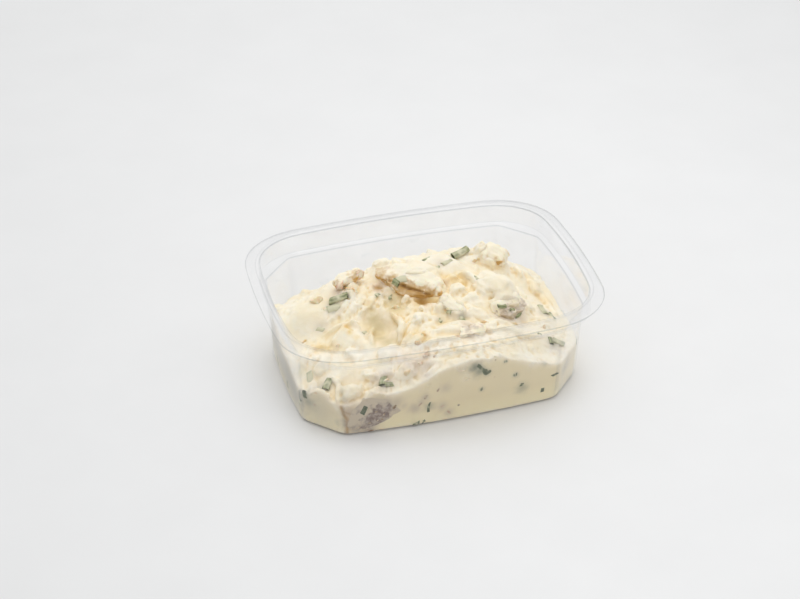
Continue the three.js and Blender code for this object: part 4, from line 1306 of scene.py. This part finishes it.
# x, y, heading, length, thickness, coat, how far it stands out: the chives that show best on top
TOP_CHIVES = [
    (17.8, 16.6, 26, 6.6, 0.95, 0.6, 1.5), (-25.6, 8.2, -4, 6.2, 1, 0.45, 1),
    (-27.9, 6, -8, 4.4, 1, 1.1, 0.4), (-6.9, 6.8, -66, 2.4, 0.75, -0.2, 0.5),
    (-5, 7.2, -10, 3.2, 0.85, 1.2, 0.25), (7, 17.6, 20, 2.8, 0.8, 0.5, 0.6),
    (12, 12.6, 22, 3.8, 0.6, 0.9, 0.25), (8.4, 11.4, 10, 1.6, 0.5, 0.9, 0.2),
    (38.7, -6.6, -80, 4.4, 0.7, 0.85, 0.4), (41, -9, -70, 3.4, 0.5, 0.4, 0.35),
    (28, -12.8, 34, 3.2, 0.5, -0.5, 0.5), (25.4, -13.8, 10, 2, 0.4, 0.2, 0.3),
    (22, -14, -6, 2.8, 0.5, -0.5, 0.5), (20.3, -8.4, -10, 1.8, 0.5, 0.3, 0.2),
    (18.5, 0.8, -80, 3, 0.4, 0.5, 0.3), (5.8, -10.6, -60, 1.8, 0.5, 0.4, 0.35),
    (8.6, -13.6, -70, 2.6, 0.5, 0.5, 0.3), (2.2, -11.4, -75, 1.6, 0.4, 0.5, 0.3),
    (-13.4, 6.4, 20, 1.6, 0.5, 0.6, 0.35), (-9.4, 5.2, 70, 1.4, 0.4, 0.4, 0.35),
    (-21.3, -7, 40, 2.4, 0.6, 1, 0.25), (-33.6, 1.6, -40, 2.4, 0.6, 1.1, 0.25),
    (-37.4, -21.4, 50, 4.4, 0.95, 0.4, 0.8), (-21.4, -27, 60, 3.4, 0.7, 0.3, 0.5),
    (-41.4, -15, 70, 4, 0.9, 1, 0.4), (-19.6, -29, -20, 2.6, 0.6, 0.1, 0.4),
    (36.2, -21.6, -85, 2.6, 0.6, 0.1, 0.5), (38.8, -21.4, -12, 4.4, 0.9, 0.8, 0.6),
    (32.4, -20.6, 0, 1.4, 0.4, 0.4, 0.3), (-23, 30, -20, 3.4, 0.8, 0.5, 0.3),
    (-8, 28, -50, 2.6, 0.7, 0.4, 0.4), (9, 27, 10, 3.6, 0.8, 0.6, 0.5), (22, 28, 70, 2.4, 0.6, 0.4, 0.4),
]
# x, y, z, tilt, length, thickness, coat: the chives that are pressed against the wall
WALL_CHIVES = [
    (-45.1, -21.2, 11.4, -78, 2.4, 0.6, 0), (-45.3, -18, 7, 60, 3, 0.5, 0.6),
    (-29, -32.4, 9.6, 66, 3.2, 0.8, 0.1), (-8.1, -33.2, 7.2, 82, 3.8, 0.36, 0.1),
    (9, -33.5, 18.8, -50, 4.4, 0.5, 0), (10.5, -33.4, 17, -50, 2.2, 0.85, 0),
    (20.6, -32.9, 13.5, 15, 1.2, 0.4, 0.3), (23.1, -32.7, 9.1, 65, 1.2, 0.5, 0.1),
    (30.6, -32.2, 5.1, 85, 1.5, 0.55, 0), (34.9, -32, 10.1, 12, 2.2, 0.36, 0),
    (-9.4, -33, 1.7, 85, 1, 0.35, 0.1), (-12.1, -32.9, 1.2, 30, 2.4, 0.5, 0.5),
    (9.3, -33.3, 10.6, 40, 0.8, 0.4, 0.3), (11.8, -33.4, 17.3, 0, 0.8, 0.35, 0.1),
    (44, -18, 12.4, 75, 2.2, 0.5, 0.2), (17, -33.3, 19.8, 0, 0.9, 0.35, 0.5),
]
# The same goes for the walls that the view doesn't show: how many there, and their range of angles
HIDDEN_CHIVES = 16
HIDDEN_SIDE = (-0.25, 3.3)


def chive_set():
    """Points, faces and painted numbers of all the chives."""
    rand = random.Random(19)
    sets, coats = [], []

    def add(middle, axes, length, thick, squash, coat):
        tube = bent_chive(length, thick, squash, rand.uniform(-0.4, 0.4), rand.uniform(-0.5, 0.5))
        sets.append(tube @ axes + middle)
        coats.append(coat)

    def add_on_wall(x, y, z, tilt, length, thick, coat):
        middle, axes = on_wall(x, y, z, math.radians(tilt))
        add(middle - axes[2] * 0.35 * thick, axes, length, thick, 0.7, coat)
        sets[-1] = kept_in_tub(sets[-1], 0.07)[0]

    for x, y, heading, length, thick, coat, proud in TOP_CHIVES:
        middle, axes = on_salad(x, y, math.radians(heading))
        squash = rand.uniform(0.5, 0.75)
        middle = middle + axes[2] * (proud - CHIVE_RADIUS * thick * squash)
        add(middle, axes, length, thick, squash, coat)
    for chive in WALL_CHIVES:
        add_on_wall(*chive)
    for i in range(HIDDEN_CHIVES):
        angle = np.interp(i + rand.uniform(0.1, 0.9), (0, HIDDEN_CHIVES), HIDDEN_SIDE)
        x, y = 40 * math.cos(angle), 40 * math.sin(angle)
        add_on_wall(x, y, rand.uniform(2, 13), rand.uniform(0, 180), rand.uniform(1.4, 4.4),
                    rand.uniform(0.4, 0.8), rand.uniform(0.1, 0.5))
    return *copies_of(chive_faces, sets), np.repeat(coats, len(chive_points))


places, faces, coat = chive_set()
at_wall = kept_in_tub(places.copy())[1] > 0.97
chives = mesh_piece("cut_chives", places, faces)
copies = len(places) // len(chive_points)
from_end = np.tile(1 - np.abs(chive_points[:, 0]), copies)
paint(chives, "coat", np.clip(coat + 0.6 * wavy(places, 1.1, 2) + 0.6 * (from_end - 0.5), 0, 1))
paint(chives, "inside", np.tile(chive_inside, copies))
paint(chives, "deep", at_wall)
paint(chives, "stripe", np.tile(chive_stripe, copies))
edit_whole(chives, bpy.ops.mesh.normals_make_consistent, inside=False)
bpy.ops.object.shade_smooth_by_angle(angle=math.radians(50))

chive_leaf, tree, place = new_material("chive_leaf")
mottle = spread(tree, grain(tree, place, 1.2, detail=3), 0.35, 0.65)
tone = blend_colour(tree, mottle, srgb(104, 110, 74), srgb(150, 154, 110))
tone = painted(tree, tone, [
    ("stripe", 0.3, 0.9, 0.6, srgb(190, 190, 148)),
    ("inside", 0, 1, 1, srgb(100, 104, 64)),
    ("deep", 0, 1, 0.75, srgb(84, 94, 78)),
    ("coat", 0.2, 0.9, 0.85, srgb(222, 216, 186)),
])
cover(tree, shade(tree, "BsdfPrincipled", {"Base Color": tone, "Roughness": 0.4, "IOR": 1.4}))
chives.data.materials.append(chive_leaf)
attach(chives, "root")
